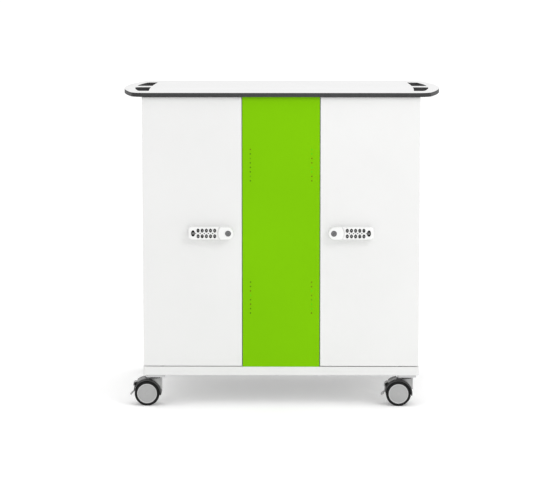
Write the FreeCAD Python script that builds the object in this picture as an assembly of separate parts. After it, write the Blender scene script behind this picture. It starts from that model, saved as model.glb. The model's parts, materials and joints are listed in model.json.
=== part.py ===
import FreeCAD, Part
import math
import os

from FreeCAD import Vector

# Tablet charging cart on four twin-wheel castors.
# Millimetres, +Z up, the front faces -Y, and the origin is on the floor under the middle of the cart.

# Worktop, a solid-core board with bowed ends and two hand slots through each end
worktop_width = 964.0
worktop_depth = 640.0
worktop_thickness = 12.0
laminate_thickness = 0.8
end_bow = 47.0
worktop_corner_radius = 42.0
slot_rail_width = 26.0
slot_length = 185.0
slot_bridge = 70.0
slot_outer_corner = 8.0
slot_inner_corner = 4.0
slot_inner_bow = 11.0
slot_side_clearance = 1.0

# Carcass, which the worktop overhangs at its ends and the base at its sides
end_overhang = 77.5
cabinet_height = 807.0
board_thickness = 18.0
base_overhang = 7.5
base_thickness = 26.0
base_corner = 4.0
front_overhang = 10.0
back_overhang = 10.0
back_panel_thickness = 10.0
shelf_setback = 45.0

# Fixed centre panel and the partitions behind its edges, slotted for the charging leads
centre_panel_width = 229.0
panel_seat_width = 8.0
lead_slot_setback = 48.0
lead_slot_depth = 30.0
lead_slot_height = 100.0
lead_slot_above_floor = 205.0
lead_slot_corner = 8.0

# Doors
door_thickness = 18.0
door_gap_below = 2.0
door_gap_above = 1.0
door_centre_gap = 2.0
door_stop_gap = 0.4

# Continuous door hinges
leaf_width = 15.0
leaf_thickness = 1.5
leaf_gap = 0.4
hinge_end_inset = 5.0
knuckle_count = 13
knuckle_sides = 8
knuckle_radius = 3.0
knuckle_gap = 0.3
hinge_pin_radius = 1.5
running_clearance = 0.08

# Glides that carry the doors' free weight over the base
glide_radius = 7.5
glide_inset = 48.0
glide_clearance = 0.3

# Keypad locks
lock_height_above_base = 404.0
lock_to_door_edge = 40.1
lock_width = 37.0
lock_depth = 27.0
lock_base_thickness = 6.0
lock_keypad_reach = 117.3
lock_lever_reach = 15.7
lock_corner_radius = 9.0
lock_edge_chamfer = 1.6
lever_swing_radius = 30.0
lever_seam_gap = 0.6
lever_base_gap = 0.3
keypad_setback = 5.0
barrel_radius = 9.0
barrel_hole_clearance = 0.3
barrel_end_projection = 6.0
spindle_radius = 4.0

# Push keys
key_columns = 5
key_rows = 2
key_column_pitch = 12.3
key_row_pitch = 16.8
key_half_width = 4.25
key_half_height = 5.65
clear_half_width = 5.65
clear_half_height = 9.0
clear_from_end = 13.5
clear_to_first_column = 15.0
key_sides = 10
key_body_length = 6.5
key_projection = 1.5
key_travel = 1.0
key_side_clearance = 0.2
key_end_clearance = 0.3

# Key-operated override cylinder in the turning lever
cylinder_radius = 8.5
cylinder_depth = 14.0
cylinder_projection = 1.0
cylinder_end_clearance = 0.2
keyway_width = 2.0
keyway_height = 9.0
keyway_depth = 6.0

# Locking cam and the slot that it turns into
cam_length = 40.0
cam_width = 16.0
cam_thickness = 3.0
cam_gap = 0.5
cam_slot_clearance = 1.5

# Charge indicators in the centre panel
indicator_edge_inset = 23.5
indicator_count = 8
indicator_pitch = 13.3
indicator_group_spacing = 396.0
indicator_middle_above_base = 407.0
indicator_radius = 1.5
indicator_sides = 6
indicator_clearance = 0.1
indicator_projection = 0.3
circuit_board_width = 14.0
circuit_board_thickness = 1.6
circuit_board_margin = 8.0

# Tablet racks
bays_per_tier = 8
divider_thickness = 2.5
divider_height = 190.0
divider_depth = 300.0
divider_nose = 60.0
rack_setback = 60.0
rack_tray_thickness = 3.0
rack_tray_margin = 12.0
rack_lip_height = 14.0
rack_lip_thickness = 3.0

# Charging units in the closed centre bay
charger_width = 52.0
charger_depth = 210.0
charger_height = 280.0
charger_setback = 90.0
charger_edge = 5.0
port_width = 6.0
port_height = 14.0
port_depth = 9.0
port_pitch = 26.0
port_inset = 18.0

# Vents and the mains inlet in the back panel
vent_count = 7
vent_width = 90.0
vent_height = 6.0
vent_pitch = 16.0
vent_group_spacing = 420.0
inlet_width = 48.0
inlet_height = 28.0
inlet_depth = 26.0
inlet_flange = 6.0
inlet_flange_thickness = 2.5
inlet_wall = 3.0
inlet_floor = 5.0
inlet_pin_width = 2.0
inlet_pin_height = 4.0
inlet_pin_length = 14.0
inlet_pin_pitch = 14.0
inlet_pin_rise = 4.0
inlet_above_base = 90.0

# Castors
castor_inset = 35.0
castor_height = 90.0
castor_pad_thickness = 5.0
castor_plate_width = 56.0
castor_plate_thickness = 3.0
castor_plate_corner = 6.0
swivel_ring_radius = 17.0
swivel_ring_height = 6.0
swivel_stud_radius = 5.0
swivel_stud_length = 6.0
swivel_gap = 0.3
castor_trail = 25.0
wheel_radius = 37.5
wheel_width = 23.5
wheel_edge = 3.0
wheel_web_gap = 0.5
castor_web_thickness = 12.0
axle_radius = 4.0
axle_boss_radius = 12.0
hood_clearance = 1.2
hood_thickness = 3.3
hood_front_degrees = -8.0
hood_tail_degrees = 165.0
bracket_radius = 16.0
bracket_reach = 19.0
bracket_rear_reach = 12.0
bracket_width = 20.0
bracket_foot_height = 48.0

# Brake pedals of the front castors, and the foot rest on top of their hoods
foot_rest_radius = 48.5
foot_rest_width = 24.0
foot_rest_front_degrees = 97.0
foot_rest_rear_degrees = 131.0
pedal_pivot_degrees = 146.0
pedal_lobe_radius = 9.5
pedal_lobe_width = 11.0
pedal_pin_radius = 1.2
pedal_notch_clearance = 0.5
pedal_paddle_width = 22.0
pedal_thickness = 5.0
pedal_root_out = 38.5
pedal_root_rise = 18.5
pedal_bend_out = 44.5
pedal_bend_rise = 2.5
pedal_tip_out = 53.0
pedal_tip_drop = 7.5

# Small round forms are drawn with flats, this many to the full turn
shaft_sides = 12
ring_sides = 16
wheel_sides = 32
foot_rest_steps = 3
corner_steps = 3

# Every cutting tool runs this far past the faces that it cuts
overrun = 2.0

# Heights
base_bottom_z = castor_height + castor_pad_thickness
base_top_z = base_bottom_z + base_thickness
cabinet_top_z = base_top_z + cabinet_height
overall_height = cabinet_top_z + worktop_thickness
door_bottom_z = base_top_z + door_gap_below
door_top_z = cabinet_top_z - door_gap_above
shelf_bottom_z = base_top_z + (cabinet_height - board_thickness) / 2
shelf_top_z = shelf_bottom_z + board_thickness
lock_z = base_top_z + lock_height_above_base
indicator_middle_z = base_top_z + indicator_middle_above_base

# Depths, with the key cylinders as the foremost pieces and the worktop as the rearmost
lock_overreach = lock_depth + cylinder_projection - front_overhang
worktop_front_y = lock_overreach - (worktop_depth + lock_overreach) / 2
worktop_back_y = worktop_front_y + worktop_depth
worktop_middle_y = worktop_front_y + worktop_depth / 2
door_front_y = worktop_front_y + front_overhang
door_back_y = door_front_y + door_thickness
carcass_back_y = worktop_back_y - back_overhang
back_panel_front_y = carcass_back_y - back_panel_thickness
partition_front_y = door_back_y + door_stop_gap
hinge_y = door_back_y + leaf_thickness + leaf_gap / 2
side_front_y = door_back_y + 2 * leaf_thickness + leaf_gap

# Widths, as distances from the middle plane
worktop_half = worktop_width / 2
side_outer_x = worktop_half - end_overhang
side_inner_x = side_outer_x - board_thickness
panel_half = centre_panel_width / 2
partition_inner_x = panel_half - panel_seat_width
partition_outer_x = partition_inner_x + board_thickness
door_inner_x = panel_half + door_centre_gap
base_half = side_outer_x + base_overhang
hinge_x = side_outer_x + knuckle_gap + knuckle_radius
door_outer_x = hinge_x + knuckle_radius
lock_x = door_inner_x + lock_to_door_edge
lock_inner_x = lock_x - lock_lever_reach
lock_outer_x = lock_x + lock_keypad_reach
bay_width = side_inner_x - partition_outer_x

# Bowed ends of the worktop
end_arc_radius = (worktop_depth ** 2 / 4 + end_bow ** 2) / (2 * end_bow)
end_arc_centre_x = worktop_half - end_arc_radius
slot_arc_radius = end_arc_radius - slot_rail_width
slot_inner_x = side_outer_x + slot_side_clearance
slot_reach = slot_bridge / 2 + slot_length
slot_inner_radius = (slot_reach ** 2 + slot_inner_bow ** 2) / (2 * slot_inner_bow)

# Lock depths, measured back from the door's front face
lock_base_front_y = door_front_y - lock_base_thickness
keypad_front_y = door_front_y - lock_depth + keypad_setback
lever_front_y = door_front_y - lock_depth
lever_back_y = lock_base_front_y - lever_base_gap
barrel_end_y = door_back_y + barrel_end_projection
cam_front_y = barrel_end_y + cam_gap
cam_back_y = cam_front_y + cam_thickness

# Castor heights and radii
swivel_ring_top_z = castor_height - castor_plate_thickness
swivel_ring_bottom_z = swivel_ring_top_z - swivel_ring_height
castor_frame_top_z = swivel_ring_bottom_z - swivel_gap
hood_inner_radius = wheel_radius + hood_clearance
hood_outer_radius = hood_inner_radius + hood_thickness
castor_half_width = castor_web_thickness / 2 + wheel_web_gap + wheel_width
castor_x = base_half - castor_inset
castor_front_y = door_front_y + castor_inset
castor_back_y = carcass_back_y - castor_inset
castors = {
    "front_left": (-castor_x, castor_front_y),
    "front_right": (castor_x, castor_front_y),
    "rear_left": (-castor_x, castor_back_y),
    "rear_right": (castor_x, castor_back_y),
}


def save(name, solids):
    """Write one sub-part, made of one or more separate solids, as a STEP file."""
    shape = solids[0] if len(solids) == 1 else Part.makeCompound(solids)
    shape.exportStep("parts/" + name + ".step")


def box(x0, x1, y0, y1, z0, z1):
    """Return a block between two opposite corners."""
    return Part.makeBox(x1 - x0, y1 - y0, z1 - z0, Vector(x0, y0, z0))


def flats(start, axis, radius, sides):
    """Return a closed many-sided outline round an axis along Y or Z, with its corners at a radius."""
    across = Vector(0, 0, 1) if axis.y else Vector(0, 1, 0)
    corners = []
    for index in range(sides):
        turn = 2 * math.pi * (index + 0.5) / sides
        corners.append(start + Vector(radius * math.cos(turn), 0, 0) + across * (radius * math.sin(turn)))
    return Part.makePolygon(corners + corners[:1])


def rod(start, axis, radius, length, sides):
    """Return a rod from a point along an axis, whose corners lie on its round outline."""
    return Part.Face(flats(start, axis, radius, sides)).extrude(axis * length)


def bore(start, axis, radius, length, sides):
    """Return the tool for a bore, whose flats just clear a round shaft of the radius."""
    return rod(start, axis, radius / math.cos(math.pi / sides), length, sides)


def fuse(solids):
    """Return one solid made of several that touch or overlap."""
    return solids[0].multiFuse(solids[1:]).removeSplitter().Solids[0]


def other_side(shape):
    """Return a shape mirrored from the right half of the cart to the left half."""
    return shape.mirror(Vector(0, 0, 0), Vector(1, 0, 0))


def upright_edges(solid, keep):
    """List the straight edges that run along Z and whose middle passes a test."""
    edges = []
    for edge in solid.Edges:
        ends = [vertex.Point for vertex in edge.Vertexes]
        if len(ends) < 2:
            continue
        run = ends[1] - ends[0]
        if abs(run.z) > math.hypot(run.x, run.y) and keep(edge.CenterOfMass):
            edges.append(edge)
    return edges


def round_uprights(solid, radius):
    """Round every edge along Z."""
    return solid.makeFillet(radius, upright_edges(solid, lambda point: True))


def ease_uprights(solid, size, keep=lambda point: True):
    """Chamfer the edges along Z that pass a test."""
    return solid.makeChamfer(size, upright_edges(solid, keep))


def plate_from_edges(edges, run):
    """Extrude a closed outline of edges along a vector."""
    return Part.Face(Part.Wire(edges)).extrude(run)


def oval_prism(centre_x, centre_z, half_width, half_height, sides, y0, y1):
    """Return a many-sided oval bar along Y between two depths."""
    corners = []
    for index in range(sides):
        turn = 2 * math.pi * (index + 0.5) / sides
        x = centre_x + half_width * math.cos(turn)
        z = centre_z + half_height * math.sin(turn)
        corners.append(Vector(x, y0, z))
    corners.append(corners[0])
    return Part.Face(Part.makePolygon(corners)).extrude(Vector(0, y1 - y0, 0))


def bowed_plate(z0, z1):
    """Return the worktop's outline as a plate, before its hand slots are cut."""
    corner_x = worktop_half - end_bow
    front_right = Vector(corner_x, worktop_front_y, z0)
    back_right = Vector(corner_x, worktop_back_y, z0)
    back_left = Vector(-corner_x, worktop_back_y, z0)
    front_left = Vector(-corner_x, worktop_front_y, z0)
    right_end = Vector(worktop_half, worktop_middle_y, z0)
    left_end = Vector(-worktop_half, worktop_middle_y, z0)
    edges = [
        Part.makeLine(front_left, front_right),
        Part.Arc(front_right, right_end, back_right).toShape(),
        Part.makeLine(back_right, back_left),
        Part.Arc(back_left, left_end, front_left).toShape(),
    ]
    plate = plate_from_edges(edges, Vector(0, 0, z1 - z0))
    return round_uprights(plate, worktop_corner_radius)


def hand_slot(y0, y1, z0, z1):
    """Return the tool for one hand slot at the right end, whose outer wall follows the bowed end."""

    def on_arc(centre_x, radius, y):
        run = y - worktop_middle_y
        return Vector(centre_x + math.sqrt(radius ** 2 - run ** 2), y, z0)

    def outer(y):
        return on_arc(end_arc_centre_x, slot_arc_radius, y)

    def inner(y):
        return on_arc(slot_inner_x - slot_inner_radius, slot_inner_radius, y)

    middle_y = (y0 + y1) / 2
    edges = [
        Part.makeLine(inner(y0), outer(y0)),
        Part.Arc(outer(y0), outer(middle_y), outer(y1)).toShape(),
        Part.makeLine(outer(y1), inner(y1)),
        Part.Arc(inner(y1), inner(middle_y), inner(y0)).toShape(),
    ]
    tool = plate_from_edges(edges, Vector(0, 0, z1 - z0))
    middle_x = (slot_inner_x + outer(y0).x) / 2
    tool = ease_uprights(tool, slot_outer_corner, lambda point: point.x > middle_x)
    return ease_uprights(tool, slot_inner_corner, lambda point: point.x < middle_x)


def worktop_layer(z0, z1):
    """Return one layer of the worktop with its four hand slots."""
    near = slot_bridge / 2
    tools = []
    for y0, y1 in ((-slot_reach, -near), (near, slot_reach)):
        right = hand_slot(worktop_middle_y + y0, worktop_middle_y + y1, z0 - overrun, z1 + overrun)
        tools += [right, other_side(right)]
    return bowed_plate(z0, z1).cut(tools)


def make_worktop():
    """Make the dark solid-core board and the white laminate on its face."""
    core_top = overall_height - laminate_thickness
    save("worktop_board", [worktop_layer(cabinet_top_z, core_top)])
    save("worktop_laminate", [worktop_layer(core_top, overall_height)])


def cam_slot():
    """Return the tool for the slot in the right partition that the cam turns down into."""
    reach = lock_x - partition_outer_x
    rise = math.sqrt(cam_length ** 2 - reach ** 2) + cam_width / 2 + cam_slot_clearance
    drop = cam_width / 2 + cam_slot_clearance
    return box(
        partition_inner_x - overrun,
        partition_outer_x + overrun,
        cam_front_y - cam_slot_clearance,
        cam_back_y + cam_slot_clearance,
        lock_z - drop,
        lock_z + rise,
    )


def tier_floors():
    """List the heights of the floors that the racks stand on."""
    return [base_top_z, shelf_top_z]


def lead_slot(floor_z):
    """Return the tool for one tier's slot through the right partition for the charging leads."""
    y0 = partition_front_y + lead_slot_setback
    z0 = floor_z + lead_slot_above_floor
    tool = box(
        partition_inner_x - overrun,
        partition_outer_x + overrun,
        y0,
        y0 + lead_slot_depth,
        z0,
        z0 + lead_slot_height,
    )
    length = board_thickness + 2 * overrun
    corners = [edge for edge in tool.Edges if abs(edge.BoundBox.XLength - length) < overrun]
    return tool.makeChamfer(lead_slot_corner, corners)


def make_carcass():
    """Make the boards that stand on the base: sides, partitions, shelves and base."""
    side = box(side_inner_x, side_outer_x, side_front_y, carcass_back_y, base_top_z, cabinet_top_z)
    save("side_panels", [side, other_side(side)])
    partition = box(
        partition_inner_x,
        partition_outer_x,
        partition_front_y,
        back_panel_front_y,
        base_top_z,
        cabinet_top_z,
    )
    partition = partition.cut([cam_slot()] + [lead_slot(floor_z) for floor_z in tier_floors()])
    save("centre_partitions", [partition, other_side(partition)])
    shelf = box(
        partition_outer_x,
        side_inner_x,
        partition_front_y + shelf_setback,
        back_panel_front_y,
        shelf_bottom_z,
        shelf_top_z,
    )
    save("tier_shelves", [shelf, other_side(shelf)])
    base = box(-base_half, base_half, door_front_y, carcass_back_y, base_bottom_z, base_top_z)
    save("base_board", [ease_uprights(base, base_corner)])


def vent_tools():
    """List the tools for the two groups of vent slots in the back panel."""
    tools = []
    middle = (base_top_z + cabinet_top_z) / 2
    for group in (-1, 1):
        group_z = middle + group * vent_group_spacing / 2
        for index in range(vent_count):
            z = group_z + (index - (vent_count - 1) / 2) * vent_pitch
            tools.append(
                box(
                    -vent_width / 2,
                    vent_width / 2,
                    back_panel_front_y - overrun,
                    carcass_back_y + overrun,
                    z - vent_height / 2,
                    z + vent_height / 2,
                )
            )
    return tools


def make_back_panel():
    """Make the back panel with its vents and the hole for the mains inlet."""
    panel = box(
        -side_inner_x,
        side_inner_x,
        back_panel_front_y,
        carcass_back_y,
        base_top_z,
        cabinet_top_z,
    )
    inlet_z = base_top_z + inlet_above_base
    hole = box(
        -inlet_width / 2,
        inlet_width / 2,
        back_panel_front_y - overrun,
        carcass_back_y + overrun,
        inlet_z - inlet_height / 2,
        inlet_z + inlet_height / 2,
    )
    save("back_panel", [panel.cut(vent_tools() + [hole])])


def make_mains_inlet():
    """Make the flanged inlet socket and its three contact pins."""
    z = base_top_z + inlet_above_base
    half_width = inlet_width / 2
    half_height = inlet_height / 2
    face_y = carcass_back_y + inlet_flange_thickness
    floor_y = face_y - inlet_depth
    flange = box(
        -half_width - inlet_flange,
        half_width + inlet_flange,
        carcass_back_y,
        face_y,
        z - half_height - inlet_flange,
        z + half_height + inlet_flange,
    )
    body = box(-half_width, half_width, floor_y, face_y, z - half_height, z + half_height)
    socket = box(
        -half_width + inlet_wall,
        half_width - inlet_wall,
        floor_y + inlet_floor,
        face_y + overrun,
        z - half_height + inlet_wall,
        z + half_height - inlet_wall,
    )
    housing = fuse([flange, body]).cut(socket)
    pins = []
    for step in (-1, 0, 1):
        x = step * inlet_pin_pitch / 2
        rise = inlet_pin_rise if step == 0 else -inlet_pin_rise
        pins.append(
            box(
                x - inlet_pin_width / 2,
                x + inlet_pin_width / 2,
                floor_y + inlet_floor,
                floor_y + inlet_floor + inlet_pin_length,
                z + rise - inlet_pin_height / 2,
                z + rise + inlet_pin_height / 2,
            )
        )
    save("mains_inlet", [housing] + pins)


def indicator_places():
    """List the middle (x, z) of every charge indicator, column by column."""
    places = []
    for side in (-1, 1):
        x = side * (panel_half - indicator_edge_inset)
        for group in (-1, 1):
            group_z = indicator_middle_z + group * indicator_group_spacing / 2
            for index in range(indicator_count):
                z = group_z + (index - (indicator_count - 1) / 2) * indicator_pitch
                places.append((x, z))
    return places


def indicator_bar(x, z, radius, y0, y1):
    """Return one indicator light pipe, or the tool for its hole."""
    return oval_prism(x, z, radius, radius, indicator_sides, y0, y1)


def make_centre_panel():
    """Make the fixed front panel, the light pipes through it and the circuit boards behind it."""
    panel = box(
        -panel_half,
        panel_half,
        door_front_y,
        partition_front_y,
        base_top_z,
        cabinet_top_z,
    )
    hole_radius = indicator_radius + indicator_clearance
    tools = []
    pipes = []
    for x, z in indicator_places():
        tools.append(
            indicator_bar(x, z, hole_radius, door_front_y - overrun, partition_front_y + overrun)
        )
        pipes.append(
            indicator_bar(x, z, indicator_radius, door_front_y - indicator_projection, partition_front_y)
        )
    save("centre_front_panel", [panel.cut(tools)])
    save("charge_indicators", pipes)
    half_height = (indicator_count - 1) * indicator_pitch / 2 + circuit_board_margin
    boards = []
    for side in (-1, 1):
        x = side * (panel_half - indicator_edge_inset)
        for group in (-1, 1):
            z = indicator_middle_z + group * indicator_group_spacing / 2
            boards.append(
                box(
                    x - circuit_board_width / 2,
                    x + circuit_board_width / 2,
                    partition_front_y,
                    partition_front_y + circuit_board_thickness,
                    z - half_height,
                    z + half_height,
                )
            )
    save("indicator_boards", boards)


def charging_unit(z0):
    """Return one charging unit on the right partition, with a row of ports along its front."""
    x1 = partition_inner_x
    x0 = x1 - charger_width
    y0 = partition_front_y + charger_setback
    case = box(x0, x1, y0, y0 + charger_depth, z0, z0 + charger_height)
    case = ease_uprights(case, charger_edge, lambda point: point.x < x1 - charger_edge)
    tools = []
    for index in range(bays_per_tier):
        z = z0 + charger_height / 2 + (index - (bays_per_tier - 1) / 2) * port_pitch
        tools.append(
            box(
                x0 + port_inset,
                x0 + port_inset + port_height,
                y0 - overrun,
                y0 + port_depth,
                z - port_width / 2,
                z + port_width / 2,
            )
        )
    return case.cut(tools)


def make_charging_units():
    """Make the four charging units, one for each tier of each side."""
    tier_height = shelf_bottom_z - base_top_z
    units = []
    for floor_z in tier_floors():
        unit = charging_unit(floor_z + (tier_height - charger_height) / 2)
        units += [unit, other_side(unit)]
    save("charging_units", units)


def divider(x, z0):
    """Return one upright rack divider with a sloping nose."""
    y0 = partition_front_y + rack_setback
    half = divider_thickness / 2
    plate = box(x - half, x + half, y0, y0 + divider_depth, z0, z0 + divider_height)
    nose = []
    for edge in plate.Edges:
        middle = edge.CenterOfMass
        if middle.y < y0 + divider_thickness and middle.z > z0 + divider_height - divider_thickness:
            if abs(edge.BoundBox.XLength - divider_thickness) < half:
                nose.append(edge)
    return plate.makeChamfer(divider_nose, nose)


def tablet_rack(floor_z):
    """List the solids of one rack at the right: its tray, the lip along its front and its dividers."""
    y0 = partition_front_y + rack_setback
    tray = box(
        partition_outer_x,
        side_inner_x,
        y0 - rack_tray_margin,
        y0 + divider_depth + rack_tray_margin,
        floor_z,
        floor_z + rack_tray_thickness,
    )
    lip = box(
        partition_outer_x,
        side_inner_x,
        y0 - rack_tray_margin,
        y0 - rack_tray_margin + rack_lip_thickness,
        floor_z + rack_tray_thickness,
        floor_z + rack_lip_height,
    )
    solids = [tray, lip]
    pitch = (bay_width - divider_thickness) / bays_per_tier
    for index in range(bays_per_tier + 1):
        x = partition_outer_x + divider_thickness / 2 + index * pitch
        solids.append(divider(x, floor_z + rack_tray_thickness))
    return solids


def make_tablet_racks():
    """Make the four racks, two tiers on each side."""
    solids = []
    for floor_z in tier_floors():
        rack = tablet_rack(floor_z)
        solids += rack + [other_side(solid) for solid in rack]
    save("tablet_racks", solids)


def make_door_glides():
    """Make the small round glides between the base and the doors."""
    seat = Vector(side_outer_x - glide_inset, (door_front_y + door_back_y) / 2, base_top_z)
    glide = rod(seat, Vector(0, 0, 1), glide_radius, door_gap_below - glide_clearance, shaft_sides)
    save("door_glides", [glide, other_side(glide)])


def knuckle_spans():
    """List the lowest and highest point of every hinge knuckle."""
    z0 = door_bottom_z + hinge_end_inset
    pitch = (door_top_z - hinge_end_inset - z0) / knuckle_count
    spans = []
    for index in range(knuckle_count):
        low = z0 + index * pitch + knuckle_gap / 2
        spans.append((low, low + pitch - knuckle_gap))
    return spans


def hinge_leaf(y0, own_spans):
    """Return the right hinge's leaf plate with solid knuckles on the given spans."""
    z0 = door_bottom_z + hinge_end_inset
    z1 = door_top_z - hinge_end_inset
    y1 = y0 + leaf_thickness
    solids = [box(side_outer_x - leaf_width, side_outer_x, y0, y1, z0, z1)]
    for low, high in own_spans:
        solids.append(box(side_outer_x - leaf_thickness, hinge_x, y0, y1, low, high))
        centre = Vector(hinge_x, hinge_y, low)
        solids.append(rod(centre, Vector(0, 0, 1), knuckle_radius, high - low, knuckle_sides))
    return fuse(solids)


def make_hinges():
    """Make the carcass leaves with their pins, and the door leaves bored to turn on them."""
    spans = knuckle_spans()
    foot = Vector(hinge_x, hinge_y, spans[0][0])
    length = spans[-1][1] - spans[0][0]
    pin = rod(foot, Vector(0, 0, 1), hinge_pin_radius, length, knuckle_sides)
    fixed = fuse([hinge_leaf(side_front_y - leaf_thickness, spans[0::2]), pin])
    save("carcass_hinge_leaves", [fixed, other_side(fixed)])
    pin_hole = bore(
        foot - Vector(0, 0, overrun),
        Vector(0, 0, 1),
        hinge_pin_radius + running_clearance,
        length + 2 * overrun,
        knuckle_sides,
    )
    moving = hinge_leaf(door_back_y, spans[1::2]).cut(pin_hole).Solids[0]
    save("right_door_hinge_leaf", [moving])
    save("left_door_hinge_leaf", [other_side(moving)])


def polar(centre, radius, degrees):
    """Return a point in the upright plane through a centre, turned up from +X."""
    turn = math.radians(degrees)
    return centre + Vector(radius * math.cos(turn), 0, radius * math.sin(turn))


def arc_points(centre, radius, start, end, steps):
    """List the points of an arc in the upright plane through a centre, from one angle to another."""
    turn = (end - start) / steps
    return [polar(centre, radius, start + index * turn) for index in range(steps + 1)]


def lock_axis(y):
    """Return the point of the right lock's turning axis at one depth."""
    return Vector(lock_x, y, lock_z)


def make_doors():
    """Make the two doors with the holes for the locks' barrels."""
    lip_back_y = hinge_y - knuckle_radius - knuckle_gap
    panel = box(door_inner_x, side_outer_x, door_front_y, door_back_y, door_bottom_z, door_top_z)
    lip = box(side_outer_x, door_outer_x, door_front_y, lip_back_y, door_bottom_z, door_top_z)
    door = fuse([panel, lip])
    hole = bore(
        lock_axis(door_front_y - overrun),
        Vector(0, 1, 0),
        barrel_radius + barrel_hole_clearance,
        door_thickness + 2 * overrun,
        ring_sides,
    )
    door = door.cut(hole)
    save("right_door", [door])
    save("left_door", [other_side(door)])


def lock_outline(y0, y1):
    """Return the lock's whole outline as a plate: round at the lever end, eased at the keypad end."""
    half = lock_width / 2
    ease = lock_corner_radius
    ease_x = lock_outer_x - ease
    ease_rise = half - ease
    points = arc_points(Vector(lock_inner_x + half, y0, lock_z), half, 90, 270, ring_sides // 2)
    points += arc_points(Vector(ease_x, y0, lock_z - ease_rise), ease, 270, 360, corner_steps)
    points += arc_points(Vector(ease_x, y0, lock_z + ease_rise), ease, 0, 90, corner_steps)
    return Part.Face(Part.makePolygon(points + points[:1])).extrude(Vector(0, y1 - y0, 0))


def chamfer_front(solid, y, size):
    """Chamfer the outline of a solid's foremost face."""
    edges = []
    for face in solid.Faces:
        if face.BoundBox.YLength < size / 2 and abs(face.CenterOfMass.y - y) < size / 2:
            edges += face.OuterWire.Edges
    return solid.makeChamfer(size, edges)


def key_places():
    """List every key of the right lock as its name and its middle (x, z), with its half sizes."""
    places = []
    clear_x = lock_outer_x - clear_from_end
    for row in range(key_rows):
        z = lock_z + (0.5 - row) * key_row_pitch
        for column in range(key_columns):
            x = clear_x - clear_to_first_column - column * key_column_pitch
            number = (row * key_columns + column + 1) % (key_rows * key_columns)
            places.append((str(number), x, z, key_half_width, key_half_height))
    places.append(("clear", clear_x, lock_z, clear_half_width, clear_half_height))
    return places


def lock_housing():
    """Return the right lock's housing: base, keypad block with key pockets, and threaded barrel."""
    base = lock_outline(lock_base_front_y, door_front_y)
    block = lock_outline(keypad_front_y, lock_base_front_y)
    block = chamfer_front(block, keypad_front_y, lock_edge_chamfer)
    clear_radius = lever_swing_radius + lever_seam_gap
    block_depth = lock_base_front_y - keypad_front_y
    swing = bore(
        lock_axis(keypad_front_y - overrun),
        Vector(0, 1, 0),
        clear_radius,
        block_depth + overrun,
        wheel_sides,
    )
    lever_side = box(
        lock_inner_x - overrun,
        lock_x,
        keypad_front_y - overrun,
        lock_base_front_y,
        lock_z - lock_width,
        lock_z + lock_width,
    )
    block = block.cut([swing, lever_side])
    barrel = rod(
        lock_axis(door_front_y),
        Vector(0, 1, 0),
        barrel_radius,
        barrel_end_y - door_front_y,
        ring_sides,
    )
    housing = fuse([base, block, barrel])
    pocket_depth = key_body_length - key_projection + key_travel + key_end_clearance
    widen = 1 / math.cos(math.pi / key_sides)
    tools = []
    for _, x, z, half_width, half_height in key_places():
        tools.append(
            oval_prism(
                x,
                z,
                (half_width + key_side_clearance) * widen,
                (half_height + key_side_clearance) * widen,
                key_sides,
                keypad_front_y - overrun,
                keypad_front_y + pocket_depth,
            )
        )
    tools.append(
        bore(
            lock_axis(lock_base_front_y - overrun),
            Vector(0, 1, 0),
            spindle_radius + running_clearance,
            barrel_end_y - lock_base_front_y + 2 * overrun,
            shaft_sides,
        )
    )
    return housing.cut(tools).Solids[0]


def turning_lever():
    """Return the right lock's turning lever with the bore for its key cylinder."""
    disc = rod(
        lock_axis(lever_front_y),
        Vector(0, 1, 0),
        lever_swing_radius,
        lever_back_y - lever_front_y,
        wheel_sides,
    )
    lever = lock_outline(lever_front_y, lever_back_y)
    lever = chamfer_front(lever, lever_front_y, lock_edge_chamfer).common(disc)
    cylinder_bore = bore(
        lock_axis(lever_front_y - overrun),
        Vector(0, 1, 0),
        cylinder_radius + running_clearance,
        cylinder_depth + overrun,
        ring_sides,
    )
    return lever.cut(cylinder_bore).Solids[0]


def key_cylinder():
    """Return the right lock's key cylinder with its keyway."""
    y0 = lever_front_y - cylinder_projection
    length = cylinder_projection + cylinder_depth - cylinder_end_clearance
    body = rod(lock_axis(y0), Vector(0, 1, 0), cylinder_radius, length, ring_sides)
    keyway = box(
        lock_x - keyway_width / 2,
        lock_x + keyway_width / 2,
        y0 - overrun,
        y0 + keyway_depth,
        lock_z - keyway_height / 2,
        lock_z + keyway_height / 2,
    )
    return body.cut(keyway)


def locking_cam():
    """Return the right lock's spindle with the locking cam on its end, drawn back to point up."""
    axis = Vector(0, 1, 0)
    length = cam_back_y - lever_back_y
    spindle = rod(lock_axis(lever_back_y), axis, spindle_radius, length, shaft_sides)
    hub = rod(lock_axis(cam_front_y), axis, cam_width / 2, cam_thickness, ring_sides)
    arm = box(
        lock_x - cam_width / 2,
        lock_x + cam_width / 2,
        cam_front_y,
        cam_back_y,
        lock_z,
        lock_z + cam_length - cam_width / 4,
    )
    tip_height = cam_length - cam_width / 4
    tip = oval_prism(
        lock_x, lock_z + tip_height, cam_width / 2, cam_width / 4, key_sides, cam_front_y, cam_back_y
    )
    return fuse([spindle, hub, arm, tip])


def make_locks():
    """Make both keypad locks, the left one as the mirror image of the right one."""
    pieces = {
        "lock_housing": lock_housing(),
        "turning_lever": turning_lever(),
        "key_cylinder": key_cylinder(),
        "locking_cam": locking_cam(),
    }
    key_front_y = keypad_front_y - key_projection
    for name, x, z, half_width, half_height in key_places():
        pieces["key_" + name] = oval_prism(
            x, z, half_width, half_height, key_sides, key_front_y, key_front_y + key_body_length
        )
    for name, solid in pieces.items():
        save("right_" + name, [solid])
        save("left_" + name, [other_side(solid)])


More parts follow.
